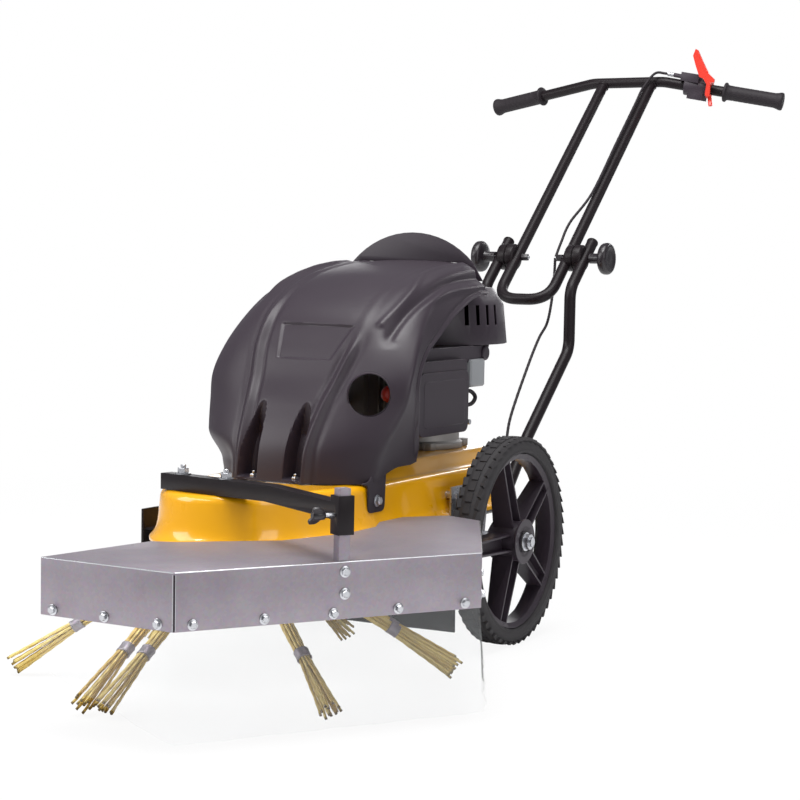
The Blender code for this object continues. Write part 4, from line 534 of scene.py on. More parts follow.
def rope_path(rng, frame_of_tuft, x, y):
    start, along, across, other = frame_of_tuft
    stop = TIP_AT - rng.uniform(0.0, 0.011)
    spread = rng.uniform(1.55, 2.15)
    sway = rng.uniform(-0.0022, 0.0022)
    points = []
    for k in range(ROPE_STEPS + 1):
        reach = ROPE_START + (stop - ROPE_START) * k / ROPE_STEPS
        fan = max(0.0, (reach - BAND_AT - 0.01) / (TIP_AT - BAND_AT - 0.01))
        pinch = 1.0 - 0.13 * math.exp(-((reach - BAND_AT) / 0.03) ** 2)
        scale = pinch + (spread - 1.0) * (0.75 * fan + 0.25 * fan * fan)
        bow = sway * math.sin(math.pi * fan)
        point = start + along * reach + across * (x * scale + bow) + other * (y * scale)
        point.z = max(point.z, ROPE_R * 1.15)
        points.append(point)
    return points


rng = random.Random(41)
bm = bmesh.new()
for degrees, aside in TUFTS:
    tuft = tuft_frame(degrees, aside)
    for radius, count in ROPE_CIRCLES:
        for k in range(count):
            angle = math.tau * k / count + 0.3
            line = [bm.verts.new(p) for p in rope_path(rng, tuft, radius * math.cos(angle), radius * math.sin(angle))]
            for a, b in zip(line, line[1:]):
                bm.edges.new((a, b))
paths = mesh_of(bm, "rope_paths")
print("rope paths", len(TUFTS) * sum(count for _, count in ROPE_CIRCLES), "lean",
      round(math.degrees(TUFT_LEAN), 1), "degrees")

# %% Sweep a twisted rope along every path
tree, given, out = nodes_tree("brush_ropes", [("Rope radius", "Float", 0.002), ("Turns per metre", "Float", 18.0),
                                              ("Shade seed", "Int", 5)])
curves = node(tree, "GeometryNodeMeshToCurve", {"Mesh": given["Geometry"]})
fine = node(tree, "GeometryNodeResampleCurve", {"Curve": curves, "Count": 60})
along_rope = node(tree, "GeometryNodeSplineParameter").outputs
turns = node(tree, "ShaderNodeMath", {0: along_rope["Length"], 1: given["Turns per metre"]}, operation="MULTIPLY")
twist = node(tree, "ShaderNodeMath", {0: turns, 1: math.tau}, operation="MULTIPLY")
twisted = node(tree, "GeometryNodeSetCurveTilt", {"Curve": fine, "Tilt": twist})
shade = node(tree, "FunctionNodeRandomValue", {"ID": node(tree, "GeometryNodeInputIndex"),
                                               "Seed": given["Shade seed"]}).outputs["Value"]
toned = node(tree, "GeometryNodeStoreNamedAttribute", {"Geometry": twisted, "Name": "wire_tone", "Value": shade},
             domain="CURVE")
near_end = node(tree, "ShaderNodeMapRange", {"Value": along_rope["Factor"], "From Min": 0.984, "From Max": 0.994})
marked = node(tree, "GeometryNodeStoreNamedAttribute", {"Geometry": toned, "Name": "wire_end", "Value": near_end},
              domain="POINT")
circle = node(tree, "GeometryNodeCurvePrimitiveCircle", {"Resolution": 12, "Radius": given["Rope radius"]})
quarters = node(tree, "ShaderNodeMath", {0: node(tree, "GeometryNodeInputIndex"), 1: math.tau / 4},
                operation="MULTIPLY")
wave = node(tree, "ShaderNodeMath", {0: quarters}, operation="COSINE")
lobe = node(tree, "ShaderNodeMapRange", {"Value": wave, "From Min": -1.0, "To Min": 0.80, "To Max": 1.06})
lobed_place = node(tree, "ShaderNodeVectorMath", {0: node(tree, "GeometryNodeInputPosition"), "Scale": lobe},
                   operation="SCALE")
lobed = node(tree, "GeometryNodeSetPosition", {"Geometry": circle, "Position": lobed_place})
swept = node(tree, "GeometryNodeCurveToMesh", {"Curve": marked, "Profile Curve": lobed, "Fill Caps": True})
end_tree(tree, swept, brush_wire, out)
rope_mesh = grown(tree, paths, {"Rope radius": ROPE_R, "Turns per metre": 16.0, "Shade seed": 5})
place_piece(rope_mesh, "brush_ropes", None, "brush", TUFT_NODES, crease=60)
print("ropes", len(rope_mesh.polygons), "faces, attributes", [a.name for a in rope_mesh.attributes][:8])

# %% [markdown]
# The crimp band is a strip of zinc plated steel, bent round the bundle and squeezed, so it isn't quite round
# and its ends overlap in a small step. A slightly rolled edge on each side keeps it from cutting the ropes.
# One loop makes all eight bands.

# %% Crimp bands


def loft(bm, rings, closed=False):
    """Joins rings of corners with faces. A closed loft also joins the last ring to the first."""
    made = []
    for low, high in zip(rings, rings[1:] + (rings[:1] if closed else [])):
        for k in range(len(low)):
            n = (k + 1) % len(low)
            made.append(bm.faces.new((low[k], low[n], high[n], high[k])))
    return made


BAND_R, BAND_CORNERS = 0.0098, 40
HALF_BAND = [(0.0055, 0.0003), (0.0070, 0.0009), (0.0085, 0.0004), (0.0085, -0.0010)]
BAND_LINE = [(-reach, grow) for reach, grow in HALF_BAND[::-1]] + HALF_BAND
bm = bmesh.new()
for degrees, aside in TUFTS:
    start, along, across, other = tuft_frame(degrees, aside)
    rings = []
    for reach, grow in BAND_LINE:
        ring = []
        for k in range(BAND_CORNERS):
            angle = math.tau * k / BAND_CORNERS
            radius = BAND_R + grow + 0.0007 * math.cos(2 * angle) + (0.0007 if k < 9 else 0.0)
            ring.append(bm.verts.new(start + along * (BAND_AT + reach) + across * radius * math.cos(angle)
                                     + other * radius * math.sin(angle)))
        rings.append(ring)
    loft(bm, rings, closed=True)
bmesh.ops.recalc_face_normals(bm, faces=bm.faces)
piece(bm, "crimp_bands", galvanised, "brush")
print("crimp bands", len(TUFTS))

# %% [markdown]
# ## Guard fasteners
#
# Small hexagon bolts with washers hold the film behind the guard's turned-down faces. They stand at uneven
# distances, so each face has a row of shares of its length. Each bolt's head is turned by a random angle.

# %% Guard bolts


def upright(direction):
    """Two unit directions square to a third one and to each other."""
    along = Vector(direction).normalized()
    side = along.cross(Z_WAY)
    if side.length < 0.01:
        side = along.cross(Y_WAY)
    side.normalize()
    return side, along.cross(side)


def round_ring(bm, middle, a, b, radius, sides, turn=0.0):
    angles = [turn + math.tau * k / sides for k in range(sides)]
    return [bm.verts.new(middle + (a * math.cos(angle) + b * math.sin(angle)) * radius) for angle in angles]


def capped(bm, rings):
    loft(bm, rings)
    bm.faces.new(rings[0][::-1])
    bm.faces.new(rings[-1])


def rod(bm, start, along, profile, sides=24, turn=0.0):
    """A closed turned shape: profile lists (distance along, radius), first and last ends are capped."""
    along = Vector(along).normalized()
    a, b = upright(along)
    capped(bm, [round_ring(bm, Vector(start) + along * reach, a, b, radius, sides, turn)
                for reach, radius in profile])


GUARD = [(-0.030, -0.912), (0.194, -0.920), (0.440, -0.526), (0.286, -0.227)]
GUARD_TOP, GUARD_DEPTH = 0.237, 0.078
BOLT_ROWS = [(0, (0.095, 0.49, 0.885)), (1, (0.057, 0.278, 0.499, 0.714, 0.943)), (2, (0.20, 0.78))]
BOLT_Z, POST_SHARE, POST_BOLTS_Z = 0.1675, 0.535, (0.1934, 0.2234)


def along_guard(side_k, share, z):
    """A point on the outside of one of the guard's faces, and the face's outward direction."""
    a, b = Vector(GUARD[side_k]), Vector(GUARD[side_k + 1])
    run = (b - a).normalized()
    outward = Vector((run.y, -run.x, 0))
    spot = a.lerp(b, share)
    return at(spot.x, spot.y, z), outward


def hex_bolt(bm, spot, outward, head=0.0055, height=0.0045, washer=0.0075, turn=0.0):
    """A washer, and on it a hexagon head with a chamfered top."""
    rod(bm, spot, outward, [(0.0, washer - 0.0006), (0.0002, washer), (0.0011, washer), (0.0014, washer - 0.0005)], 28)
    rod(bm, spot + outward * 0.0015, outward, [(0.0, head), (height * 0.72, head), (height, head * 0.80)], 6, turn)


bm = bmesh.new()
rng = random.Random(12)
for side_k, shares in BOLT_ROWS:
    for share in shares:
        spot, outward = along_guard(side_k, share, BOLT_Z)
        hex_bolt(bm, spot, outward, turn=rng.uniform(0, 1))
for z in POST_BOLTS_Z:
    spot, outward = along_guard(1, POST_SHARE, z)
    hex_bolt(bm, spot, outward, head=0.0060, washer=0.0080, turn=rng.uniform(0, 1))
piece(bm, "guard_bolts", zinc_plate, "guard")
print("guard bolts", sum(len(shares) for _, shares in BOLT_ROWS) + len(POST_BOLTS_Z))

# %% [markdown]
# ## Skirt
#
# The skirt is one strip of soft clear film, clamped behind the guard's faces and hanging to just above the
# ground, where it stands a little outwards. It is cut higher at its left end and rounded at its right one.
# Film keeps slight standing waves, so the sheet is a fine grid, moved by a few slow sines, and Solidify
# gives it its thickness. It is one piece of cloth for the simulation's bookkeeping, held by its top edge.

# %% Clear film skirt


def weave(bm, grid):
    """Joins the rows of a grid of corners with faces."""
    for low, high in zip(grid, grid[1:]):
        for k in range(len(low) - 1):
            bm.faces.new((low[k], low[k + 1], high[k + 1], high[k]))


def give_wall(host, thickness, offset=0.0):
    wall = host.modifiers.new("Wall", "SOLIDIFY")
    wall.thickness, wall.offset = thickness, offset


FILM, FILM_TOP, HEM, CLAMPED_TO, STANDS_OUT = 0.0012, 0.205, 0.0125, 0.155, 0.0105
LEFT_CUT, RIGHT_CUT, RIGHT_START = 0.076, 0.034, 0.88
ACROSS, DOWN = 180, 26


def offset_guard(distance):
    """The guard's outline moved inwards by a distance, with mitred corners."""
    starts = []
    for a, b in zip(GUARD, GUARD[1:]):
        run = (Vector(b) - Vector(a)).normalized()
        starts.append((Vector(a) + Vector((-run.y, run.x)) * distance, run))
    points = [starts[0][0]]
    for (p, r), (q, s) in zip(starts, starts[1:]):
        points.append(p + r * (((q.x - p.x) * s.y - (q.y - p.y) * s.x) / (r.x * s.y - r.y * s.x)))
    return points + [Vector(GUARD[-1]) + (starts[-1][0] - Vector(GUARD[-2]))]


FACE_LENGTHS = [(Vector(b) - Vector(a)).length for a, b in zip(GUARD, GUARD[1:])]
flat_length = sum(FACE_LENGTHS)
inner, flared = offset_guard(0.0024 + FILM), offset_guard(-STANDS_OUT)


def film_point(share, height):
    """share runs along the outline, height from the hem up to the clamped edge, both 0 to 1."""
    reach = share * flat_length
    side_k = 0
    while side_k < 2 and reach > FACE_LENGTHS[side_k]:
        reach -= FACE_LENGTHS[side_k]
        side_k += 1
    part = reach / FACE_LENGTHS[side_k]
    bottom = HEM + (LEFT_CUT * max(0.0, 1 - share / (FACE_LENGTHS[0] / flat_length))
                    + RIGHT_CUT * max(0.0, (share - RIGHT_START) / (1 - RIGHT_START)) ** 2)
    z = bottom + (FILM_TOP - bottom) * height
    free = max(0.0, (CLAMPED_TO - z) / (CLAMPED_TO - HEM))
    start = inner[side_k].lerp(inner[side_k + 1], part)
    spot = start.lerp(flared[side_k].lerp(flared[side_k + 1], part), free)
    run = (Vector(GUARD[side_k + 1]) - Vector(GUARD[side_k])).normalized()
    wave = 0.0022 * math.sin(9.0 * share * math.tau + 1.1) + 0.0012 * math.sin(23.0 * share * math.tau + 0.4)
    spot += Vector((-run.y, run.x)) * (wave + 0.0024) * free ** 1.5
    return at(spot.x, spot.y, z)


bm = bmesh.new()
weave(bm, [[bm.verts.new(film_point(i / ACROSS, j / DOWN)) for i in range(ACROSS + 1)] for j in range(DOWN + 1)])
cut_area = sum(face.calc_area() for face in bm.faces)
skirt = piece(bm, "film_skirt", clear_film, "guard", ["guard_skirt"], crease=60)
give_wall(skirt, FILM)
print("film", round(flat_length, 3), "m long, area", round(cut_area, 4), "square metres")

# %% [markdown]
# ## Tyres
#
# The tyres are solid moulded rubber, with small blocks in three rows as their tread. The body is a turned
# profile with a raised bead line on each sidewall. The blocks are the repeating part: a Geometry Nodes tree
# lays rows of points round the tyre and puts one tapered block on each.

# %% Tyre bodies
WHEEL_R, WHEEL_X, TYRE_STEPS = 0.175, 0.227, 96
TYRE_LINE = [(-0.0200, 0.1478), (-0.0225, 0.1500), (-0.0230, 0.1530), (-0.0222, 0.1545), (-0.0226, 0.1562),
             (-0.0222, 0.1610), (-0.0212, 0.1668), (-0.0175, 0.1706), (-0.0080, 0.1729), (0.0, 0.1733)]
TYRE_LINE += [(-x, r) for x, r in TYRE_LINE[-2::-1]]


def wheel_middle(side):
    return at(WHEEL_X * side, 0.0, WHEEL_R)


for side, word in SIDES:
    bm = bmesh.new()
    rings = []
    for k in range(TYRE_STEPS):
        angle = math.tau * k / TYRE_STEPS
        way = Vector((0, math.cos(angle), math.sin(angle)))
        rings.append([bm.verts.new(wheel_middle(side) + X_WAY * x + way * r) for x, r in TYRE_LINE])
    loft(bm, rings, closed=True)
    bmesh.ops.recalc_face_normals(bm, faces=bm.faces)
    piece(bm, f"tyre_rubber_{word}", tyre_rubber, f"wheel_{word}", [f"tyre_{word}"], crease=50)
print("tyre bodies", len(SIDES), "of", TYRE_STEPS, "steps")

# %% Tread blocks
tree, given, out = nodes_tree("tread_blocks", [("Tyre radius", "Float", 0.175), ("Blocks in a row", "Int", 44),
                                               ("Block length", "Float", 0.0178), ("Block width", "Float", 0.0132),
                                               ("Block height", "Float", 0.006)])
ROWS = [(-0.0150, 0.0, 0.0022, 0.336, 12), (0.0, 0.5, 0.0, 0.0, 0), (0.0150, 0.0, 0.0022, -0.336, -12)]
size = node(tree, "ShaderNodeCombineXYZ", {"X": given["Block width"], "Y": given["Block length"],
                                           "Z": given["Block height"]})
cube = node(tree, "GeometryNodeMeshCube", {"Size": size})
corner = node(tree, "GeometryNodeInputPosition")
corner_z = node(tree, "ShaderNodeSeparateXYZ", {0: corner}).outputs["Z"]
narrow = node(tree, "ShaderNodeMapRange", {"Value": corner_z, "From Min": -0.003, "From Max": 0.003,
                                           "To Min": 1.06, "To Max": 0.86})
flatter = node(tree, "ShaderNodeCombineXYZ", {"X": narrow, "Y": narrow, "Z": 1.0})
tapered = node(tree, "ShaderNodeVectorMath", {0: corner, 1: flatter}, operation="MULTIPLY")
block = node(tree, "GeometryNodeSetPosition", {"Geometry": cube, "Position": tapered})
joined = node(tree, "GeometryNodeJoinGeometry")
for across_by, shift, sink, lean_by, skew in ROWS:
    row = node(tree, "GeometryNodeMeshLine", {"Count": given["Blocks in a row"]})
    number = node(tree, "ShaderNodeMath", {0: node(tree, "GeometryNodeInputIndex"), 1: shift}, operation="ADD")
    part = node(tree, "ShaderNodeMath", {0: number, 1: given["Blocks in a row"]}, operation="DIVIDE")
    angle = node(tree, "ShaderNodeMath", {0: part, 1: math.tau}, operation="MULTIPLY")
    half = node(tree, "ShaderNodeMath", {0: given["Block height"], 1: 0.5}, operation="MULTIPLY")
    inside = node(tree, "ShaderNodeMath", {0: given["Tyre radius"], 1: half}, operation="SUBTRACT")
    radius = node(tree, "ShaderNodeMath", {0: inside, 1: sink}, operation="SUBTRACT")
    waves = [node(tree, "ShaderNodeMath", {0: angle}, operation=wave) for wave in ("COSINE", "SINE")]
    y, z = (node(tree, "ShaderNodeMath", {0: radius, 1: wave}, operation="MULTIPLY") for wave in waves)
    spot = node(tree, "ShaderNodeCombineXYZ", {"X": across_by, "Y": y, "Z": z})
    laid = node(tree, "GeometryNodeSetPosition", {"Geometry": row, "Position": spot})
    back = node(tree, "ShaderNodeMath", {0: angle, 1: math.pi / 2}, operation="SUBTRACT")
    face_out = node(tree, "ShaderNodeCombineXYZ", {"X": back})
    turned, own_turn = (node(tree, "FunctionNodeEulerToRotation", {"Euler": euler})
                        for euler in (face_out, (0.0, lean_by, math.radians(skew))))
    both = node(tree, "FunctionNodeRotateRotation", {"Rotation": turned, "Rotate By": own_turn},
                rotation_space="LOCAL")
    placed = node(tree, "GeometryNodeInstanceOnPoints", {"Points": laid, "Instance": block, "Rotation": both})
    fill(tree, joined, {0: placed})
end_tree(tree, joined, tyre_rubber, out)
for side, word in SIDES:
    blocks = grown(tree, bpy.data.meshes.new("no_start"), {"Tyre radius": WHEEL_R - 0.0003, "Blocks in a row": 54})
    blocks.transform(Matrix.Translation(wheel_middle(side)))
    tread = place_piece(blocks, f"tyre_tread_{word}", None, f"wheel_{word}", crease=30)
    print("tread", word, len(blocks.polygons), "faces, box", [round(v, 4) for v in tread.dimensions])

# %% [markdown]
# ## Hood
#
# The hood is the piece that the eye goes to: one blow-moulded cowl with a wide front panel between two
# rounded ridges, two tall pockets over its fixing nuts, a sloping side with a round opening, and a soft
# channel that follows the engine's opening. A skin through cross sections gives the large shape, as in the
# CAD model, but here each section is a smooth B-spline and is sampled finely. The small shapes are then
# pushed in or out along the skin's normal, each as a function of its distance from a line on the skin. A row
# of HOOD holds the y and z of a section's middle, the x of its ridge, and the places of its corner and rim.

# %% Sections of the hood


def between(a, b, c, d, t):
    """The point at share t between b and c, on a smooth line that also passes a and d."""
    return 0.5 * (2 * b + (c - a) * t + (2 * a - 5 * b + 4 * c - d) * t * t + (3 * b - a - 3 * c + d) * t ** 3)


HOOD = np.array([
    (-0.395, 0.2937, 0.062, 0.150, -0.330, 0.2937, 0.156, -0.200, 0.3190),
    (-0.385, 0.3500, 0.064, 0.165, -0.322, 0.3500, 0.167, -0.217, 0.3520),
    (-0.353, 0.4100, 0.071, 0.183, -0.292, 0.4100, 0.180, -0.240, 0.4120),
    (-0.322, 0.4550, 0.080, 0.187, -0.278, 0.4550, 0.182, -0.242, 0.4550),
    (-0.292, 0.5050, 0.091, 0.181, -0.246, 0.5030, 0.178, -0.212, 0.4920),
    (-0.256, 0.5530, 0.093, 0.171, -0.204, 0.5450, 0.173, -0.158, 0.5220),
    (-0.203, 0.5890, 0.093, 0.162, -0.152, 0.5800, 0.171, -0.112, 0.5480),
    (-0.145, 0.6120, 0.093, 0.156, -0.105, 0.6020, 0.169, -0.068, 0.5660),
    (-0.085, 0.6260, 0.093, 0.153, -0.058, 0.6140, 0.167, -0.032, 0.5780),
    (-0.010, 0.6360, 0.093, 0.151, 0.000, 0.6180, 0.165, 0.010, 0.5840),
    (0.058, 0.6400, 0.093, 0.149, 0.058, 0.6160, 0.163, 0.058, 0.5840),
])
PER_STEP = [13, 13, 11, 6, 5, 9, 10, 10, 7, 6, 6, 8, 8, 4]
PER_STEP = PER_STEP[::-1] + PER_STEP


def hood_station(share):
    spot = share * (len(HOOD) - 1)
    k = min(int(spot), len(HOOD) - 2)
    return between(*(HOOD[min(max(k + step, 0), len(HOOD) - 1)] for step in (-1, 0, 1, 2)), spot - k)


def hood_section(share):
    """Control points of one cross section, from the far rim over the middle to the near rim."""
    s = hood_station(share)
    before, after = hood_station(max(0.0, share - 0.01)), hood_station(min(1.0, share + 0.01))
    run = np.array([0, after[0] - before[0], after[1] - before[1]])
    run /= np.linalg.norm(run)
    inward = np.array([0, run[2], -run[1]])
    centre, ridge, corner, rim = np.array([0, s[0], s[1]]), s[2], s[3:6], s[6:9]
    half = [centre + np.array([ridge * x, 0, 0]) + inward * 0.004 * x * x for x in (0.0, 0.33, 0.66, 0.90, 1.0)]
    edge = half[-1]
    outward = np.array([0.5, 0, 0]) - inward * 0.8
    for t in (0.06, 0.25, 0.50, 0.75, 0.88):
        half.append(edge + (corner - edge) * t + outward * 0.010 * math.sin(math.pi * t) * (0.7 if t < 0.1 else 1.0))
    half += [corner] + [corner + (rim - corner) * t for t in (0.18, 0.50, 0.90, 1.0)]
    half = np.array(half)
    return np.vstack([half[:0:-1] * np.array([-1, 1, 1]), half])


def b_spline(points):
    padded = np.vstack([2 * points[0] - points[1], points, 2 * points[-1] - points[-2]])
    rows = []
    for k in range(len(points) - 1):
        for j in range(PER_STEP[k]):
            t = j / PER_STEP[k]
            w = np.array([(1 - t) ** 3, 3 * t ** 3 - 6 * t * t + 4, -3 * t ** 3 + 3 * t * t + 3 * t + 1, t ** 3]) / 6
            rows.append(w @ padded[k:k + 4])
    return np.array(rows + [points[-1]])


shares = np.concatenate([np.linspace(0, 0.26, 72, endpoint=False), np.linspace(0.26, 0.35, 13, endpoint=False),
                         np.linspace(0.35, 0.49, 56, endpoint=False), np.linspace(0.49, 1, 60)])
skin = np.array([b_spline(hood_section(s)) for s in shares])
print("hood skin", skin.shape[:2], "points, about", round(550 / len(shares), 1), "mm apart")

# %% Measures on the skin


def smooth_line(points, steps):
    ends = [2 * points[0] - points[1], *points, 2 * points[-1] - points[-2]]
    line = [between(*ends[k:k + 4], j / steps) for k in range(len(points) - 1) for j in range(steps)]
    return line + [points[-1]]


along_run = np.gradient(skin, axis=0)
across_run = np.gradient(skin, axis=1)
normals = np.cross(across_run, along_run)
normals /= np.linalg.norm(normals, axis=2, keepdims=True) + 1e-12
middle_column = skin.shape[1] // 2
if normals[20, middle_column, 1] > 0:
    normals = -normals
steps = np.linalg.norm(np.diff(skin, axis=1), axis=2)
reach = np.concatenate([np.zeros((len(shares), 1)), np.cumsum(steps, axis=1)], axis=1)
reach = np.abs(reach - reach[:, middle_column:middle_column + 1])
edge_column = middle_column + sum(PER_STEP[14:18])
ridge_reach = reach[:, edge_column:edge_column + 1]
rim_reach = reach[:, -1:]
level = shares[:, None] * np.ones_like(reach)
x_place, z_place = skin[..., 0], skin[..., 2]


def soft_step(low, high, value):
    share = np.clip((value - low) / (high - low), 0, 1)
    return share * share * (3 - 2 * share)


def line_distance(points):
    """Distance of every point of the skin from a line through the given points."""
    nearest = np.full(skin.shape[:2], 1.0)
    line = smooth_line([np.array(p) for p in points], 4)
    for a, b in zip(line, line[1:]):
        t = np.clip(((skin - a) @ (b - a)) / ((b - a) @ (b - a)), 0, 1)
        nearest = np.minimum(nearest, np.linalg.norm(skin - a - t[..., None] * (b - a), axis=2))
    return nearest


def bump(distance, width):
    return np.exp(-(distance / width) ** 2)


print("front panel", round(2000 * float(ridge_reach[0, 0]), 1), "mm wide at its foot")

# %% Shape the hood's ridges, pockets, channel and lip
fade = 1 - np.where(x_place > 0, 0.95 * soft_step(0.36, 0.46, level), 0.75 * soft_step(0.42, 0.60, level))
from_ridge = reach - ridge_reach
push = 0.0058 * bump(from_ridge + 0.003, 0.0062) * fade
push -= 0.0022 * bump(from_ridge + 0.016, 0.0050) * fade
push -= 0.0024 * bump(from_ridge - 0.011, 0.0060) * fade

valley = [(0.143, -0.277, 0.501), (0.140, -0.261, 0.523), (0.145, -0.228, 0.552), (0.149, -0.184, 0.577),
          (0.152, -0.131, 0.598), (0.154, -0.058, 0.611), (0.151, 0.058, 0.616)]
shoulder = [(0.119, -0.256, 0.540), (0.129, -0.223, 0.565), (0.130, -0.175, 0.593), (0.116, -0.115, 0.617),
            (0.115, -0.066, 0.627), (0.115, 0.058, 0.632)]
arch = [(0.148, -0.262, 0.518), (0.148, -0.248, 0.532), (0.154, -0.202, 0.563), (0.161, -0.150, 0.581),
        (0.160, -0.079, 0.593), (0.160, 0.058, 0.598)]


def both_sides(line):
    return np.where(x_place > 0, line_distance(line), line_distance([(-x, y, z) for x, y, z in line]))


shown = np.where(x_place > 0, 1.0, soft_step(0.50, 0.64, level))
shown = shown * soft_step(0.385, 0.455, level)
push -= 0.0085 * bump(both_sides(valley), 0.0105) * shown
push += 0.0030 * bump(both_sides(shoulder), 0.0065) * shown
push += 0.0026 * bump(both_sides(arch), 0.0065) * shown
from_rim = rim_reach - reach
push += 0.0022 * (1 - soft_step(0.004, 0.007, from_rim)) * soft_step(0.02, 0.08, level)
push -= 0.0010 * bump(from_rim - 0.0095, 0.0025) * soft_step(0.02, 0.08, level)

plate = [(-0.057, 0.537), (0.075, 0.536), (0.053, 0.483), (-0.044, 0.483)]
inside_plate = np.where(from_ridge < 0, 1.0, 0.0)
for (ax, az), (bx, bz), blur in zip(plate, plate[1:] + plate[:1], (0.0013, 0.0030, 0.0013, 0.0030)):
    length = math.hypot(bx - ax, bz - az)
    inside_plate *= soft_step(-blur, blur, ((x_place - ax) * (az - bz) + (z_place - az) * (bx - ax)) / -length)
push -= 0.0030 * inside_plate

pocket_top, pocket_foot = 0.418, 0.2975
height = (z_place - pocket_foot) / (pocket_top - pocket_foot)
half_width = 0.0155 * np.sqrt(np.clip(1 - np.clip(height, 0, 1) ** 2.4, 0, 1))
pocket_middle = 0.0405
aside = np.abs(np.abs(x_place) - pocket_middle)
wall = 1 - soft_step(-0.0030, 0.0016, aside - half_width)
wall *= (height < 1) * soft_step(0.0, 0.02, height)
y_back = np.interp(pocket_top, z_place[:80, middle_column], skin[:80, middle_column, 1]) + 0.001
depth = np.clip(y_back - skin[..., 1], 0, 0.030) * wall
shaped = skin + normals * push[..., None]
shaped[..., 1] += depth
drawn_in = 0.023 * (1 - soft_step(0.318, 0.364, z_place)) * soft_step(0.0, 0.06, from_ridge)
shaped[..., 0] += drawn_in * (1 - soft_step(-0.30, -0.22, skin[..., 1])) * (x_place < 0)
shaped[..., 1] -= 0.032 * soft_step(0.84, 1.0, level) * soft_step(-0.03, 0.03, from_ridge)
deck_edge = 0.2925 + 0.0215 * soft_step(-0.345, -0.255, shaped[..., 1])
shaped[..., 2] = np.maximum(shaped[..., 2], deck_edge + 0.0014)
print("deepest pocket", round(1000 * float(depth.max()), 1), "mm, highest ridge",
      round(1000 * float(push.max()), 1), "mm")

# %% Build the hood with its opening


def cut_sheet(bm, name, wall, start, way, radius, sides):
    """Gives a skin its wall inwards, cuts a round hole through it and keeps the result as a plain mesh."""
    host = add_object(name, mesh_of(bm, f"{name}_skin"))
    give_wall(host, wall, -1.0)
    drill = bmesh.new()
    rod(drill, start, way, [(0, radius), (0.08, radius)], sides)
    cutter = add_object("cutter", mesh_of(drill, "cutter"))
    opening = host.modifiers.new("Opening", "BOOLEAN")
    opening.object, opening.operation, opening.solver = cutter, "DIFFERENCE", "EXACT"
    cut = plain_mesh(host, name)
    for used in (host, cutter):
        bpy.data.objects.remove(used)
    return cut


HOOD_WALL, HOLE_R, HOLE_X, HOLE_Z = 0.0028, 0.033, 0.1335, 0.432
bm = bmesh.new()
grid = [[bm.verts.new(at(*point)) for point in row] for row in shaped.tolist()]
weave(bm, grid)
bm.normal_update()
if grid[10][middle_column].link_faces[0].normal.y > 0:
    bmesh.ops.reverse_faces(bm, faces=bm.faces)
nearest = np.argmin((x_place - HOLE_X) ** 2 + (z_place - HOLE_Z) ** 2 + (skin[..., 1] > -0.2))
HOLE = at(*shaped.reshape(-1, 3)[nearest].tolist())
HOLE_WAY = Vector((0.573, -0.82, 0.0)).normalized()
cowl = cut_sheet(bm, "hood_cowl", HOOD_WALL, HOLE - HOLE_WAY * 0.03, HOLE_WAY, HOLE_R, 64)
place_piece(cowl, "hood_cowl", hood_plastic, "chassis", ["hood"], crease=34)
print("hood", len(cowl.polygons), "faces")

# %% [markdown]
# The opening's edge is a short moulded collar, which stiffens the thin wall. The cowl is held by a tab at
# the near side, screwed to the deck, and by a nut in the foot of each pocket.

# %% Collar, side tab and fixings


def slab(bm, outline, origin, x_way, y_way, depth_way, depth):
    """A flat plate: an outline of (x, y) pairs in a plane, given a thickness."""
    low = [bm.verts.new(origin + x_way * x + y_way * y) for x, y in outline]
    high = [bm.verts.new(v.co + depth_way * depth) for v in low]
    made = [bm.faces.new(low), bm.faces.new(high[::-1])]
    for k in range(len(low)):
        n = (k + 1) % len(low)
        made.append(bm.faces.new((low[k], high[k], high[n], low[n])))
    bmesh.ops.recalc_face_normals(bm, faces=made)


def round_corners(corners, radius, steps=5):
    """An outline of (x, y) pairs with each corner rounded."""
    done = []
    for k, corner in enumerate(corners):
        c = Vector(corner)
        before, after = Vector(corners[k - 1]) - c, Vector(corners[(k + 1) % len(corners)]) - c
        r = min(radius, before.length * 0.45, after.length * 0.45)
        start, end = c + before.normalized() * r, c + after.normalized() * r
        for j in range(steps + 1):
            t = j / steps
            done.append(tuple(start * (1 - t) ** 2 + c * 2 * t * (1 - t) + end * t * t))
    return done


def side_plate(bm, x, depth, corners, radius, steps=5):
    """A plate square to the axle, from (y, z) corners, that starts at x and grows outwards."""
    slab(bm, round_corners(corners, radius, steps), at(x, 0, 0), Y_WAY, Z_WAY, X_WAY, depth)


COLLAR = [(-0.010, 0.0330), (-0.010, 0.0348), (0.0, 0.0352), (0.0026, 0.0345), (0.0030, 0.0330)]
bm = bmesh.new()
a, b = upright(HOLE_WAY)
seat = HOLE - HOLE_WAY * 0.004
loft(bm, [round_ring(bm, seat + HOLE_WAY * reach_in, a, b, radius, 64) for reach_in, radius in COLLAR], closed=True)
bmesh.ops.recalc_face_normals(bm, faces=bm.faces)
piece(bm, "hood_collar", hood_plastic, "chassis")
bm = bmesh.new()
side_plate(bm, 0.1464, 0.0030, [(-0.338, 0.2985), (-0.358, 0.2975), (-0.358, 0.2945), (-0.342, 0.2932),
                                (-0.341, 0.249), (-0.290, 0.249), (-0.286, 0.318), (-0.326, 0.318)], 0.011)
round_edges(piece(bm, "hood_tabs", hood_plastic, "chassis"), 0.0007)
bm = bmesh.new()
hex_bolt(bm, at(0.1494, -0.315, 0.267), X_WAY, head=0.0068, height=0.0060, washer=0.0095)
for side, word in SIDES:
    spot = at(side * 0.0385, -0.3785, 0.2950)
    hex_bolt(bm, spot, Z_WAY, head=0.0062, height=0.0060, washer=0.0090)
    rod(bm, spot + Z_WAY * 0.006, Z_WAY, [(0, 0.0030), (0.0055, 0.0030), (0.0060, 0.0024)], 16)
piece(bm, "hood_fixings", zinc_plate, "chassis")
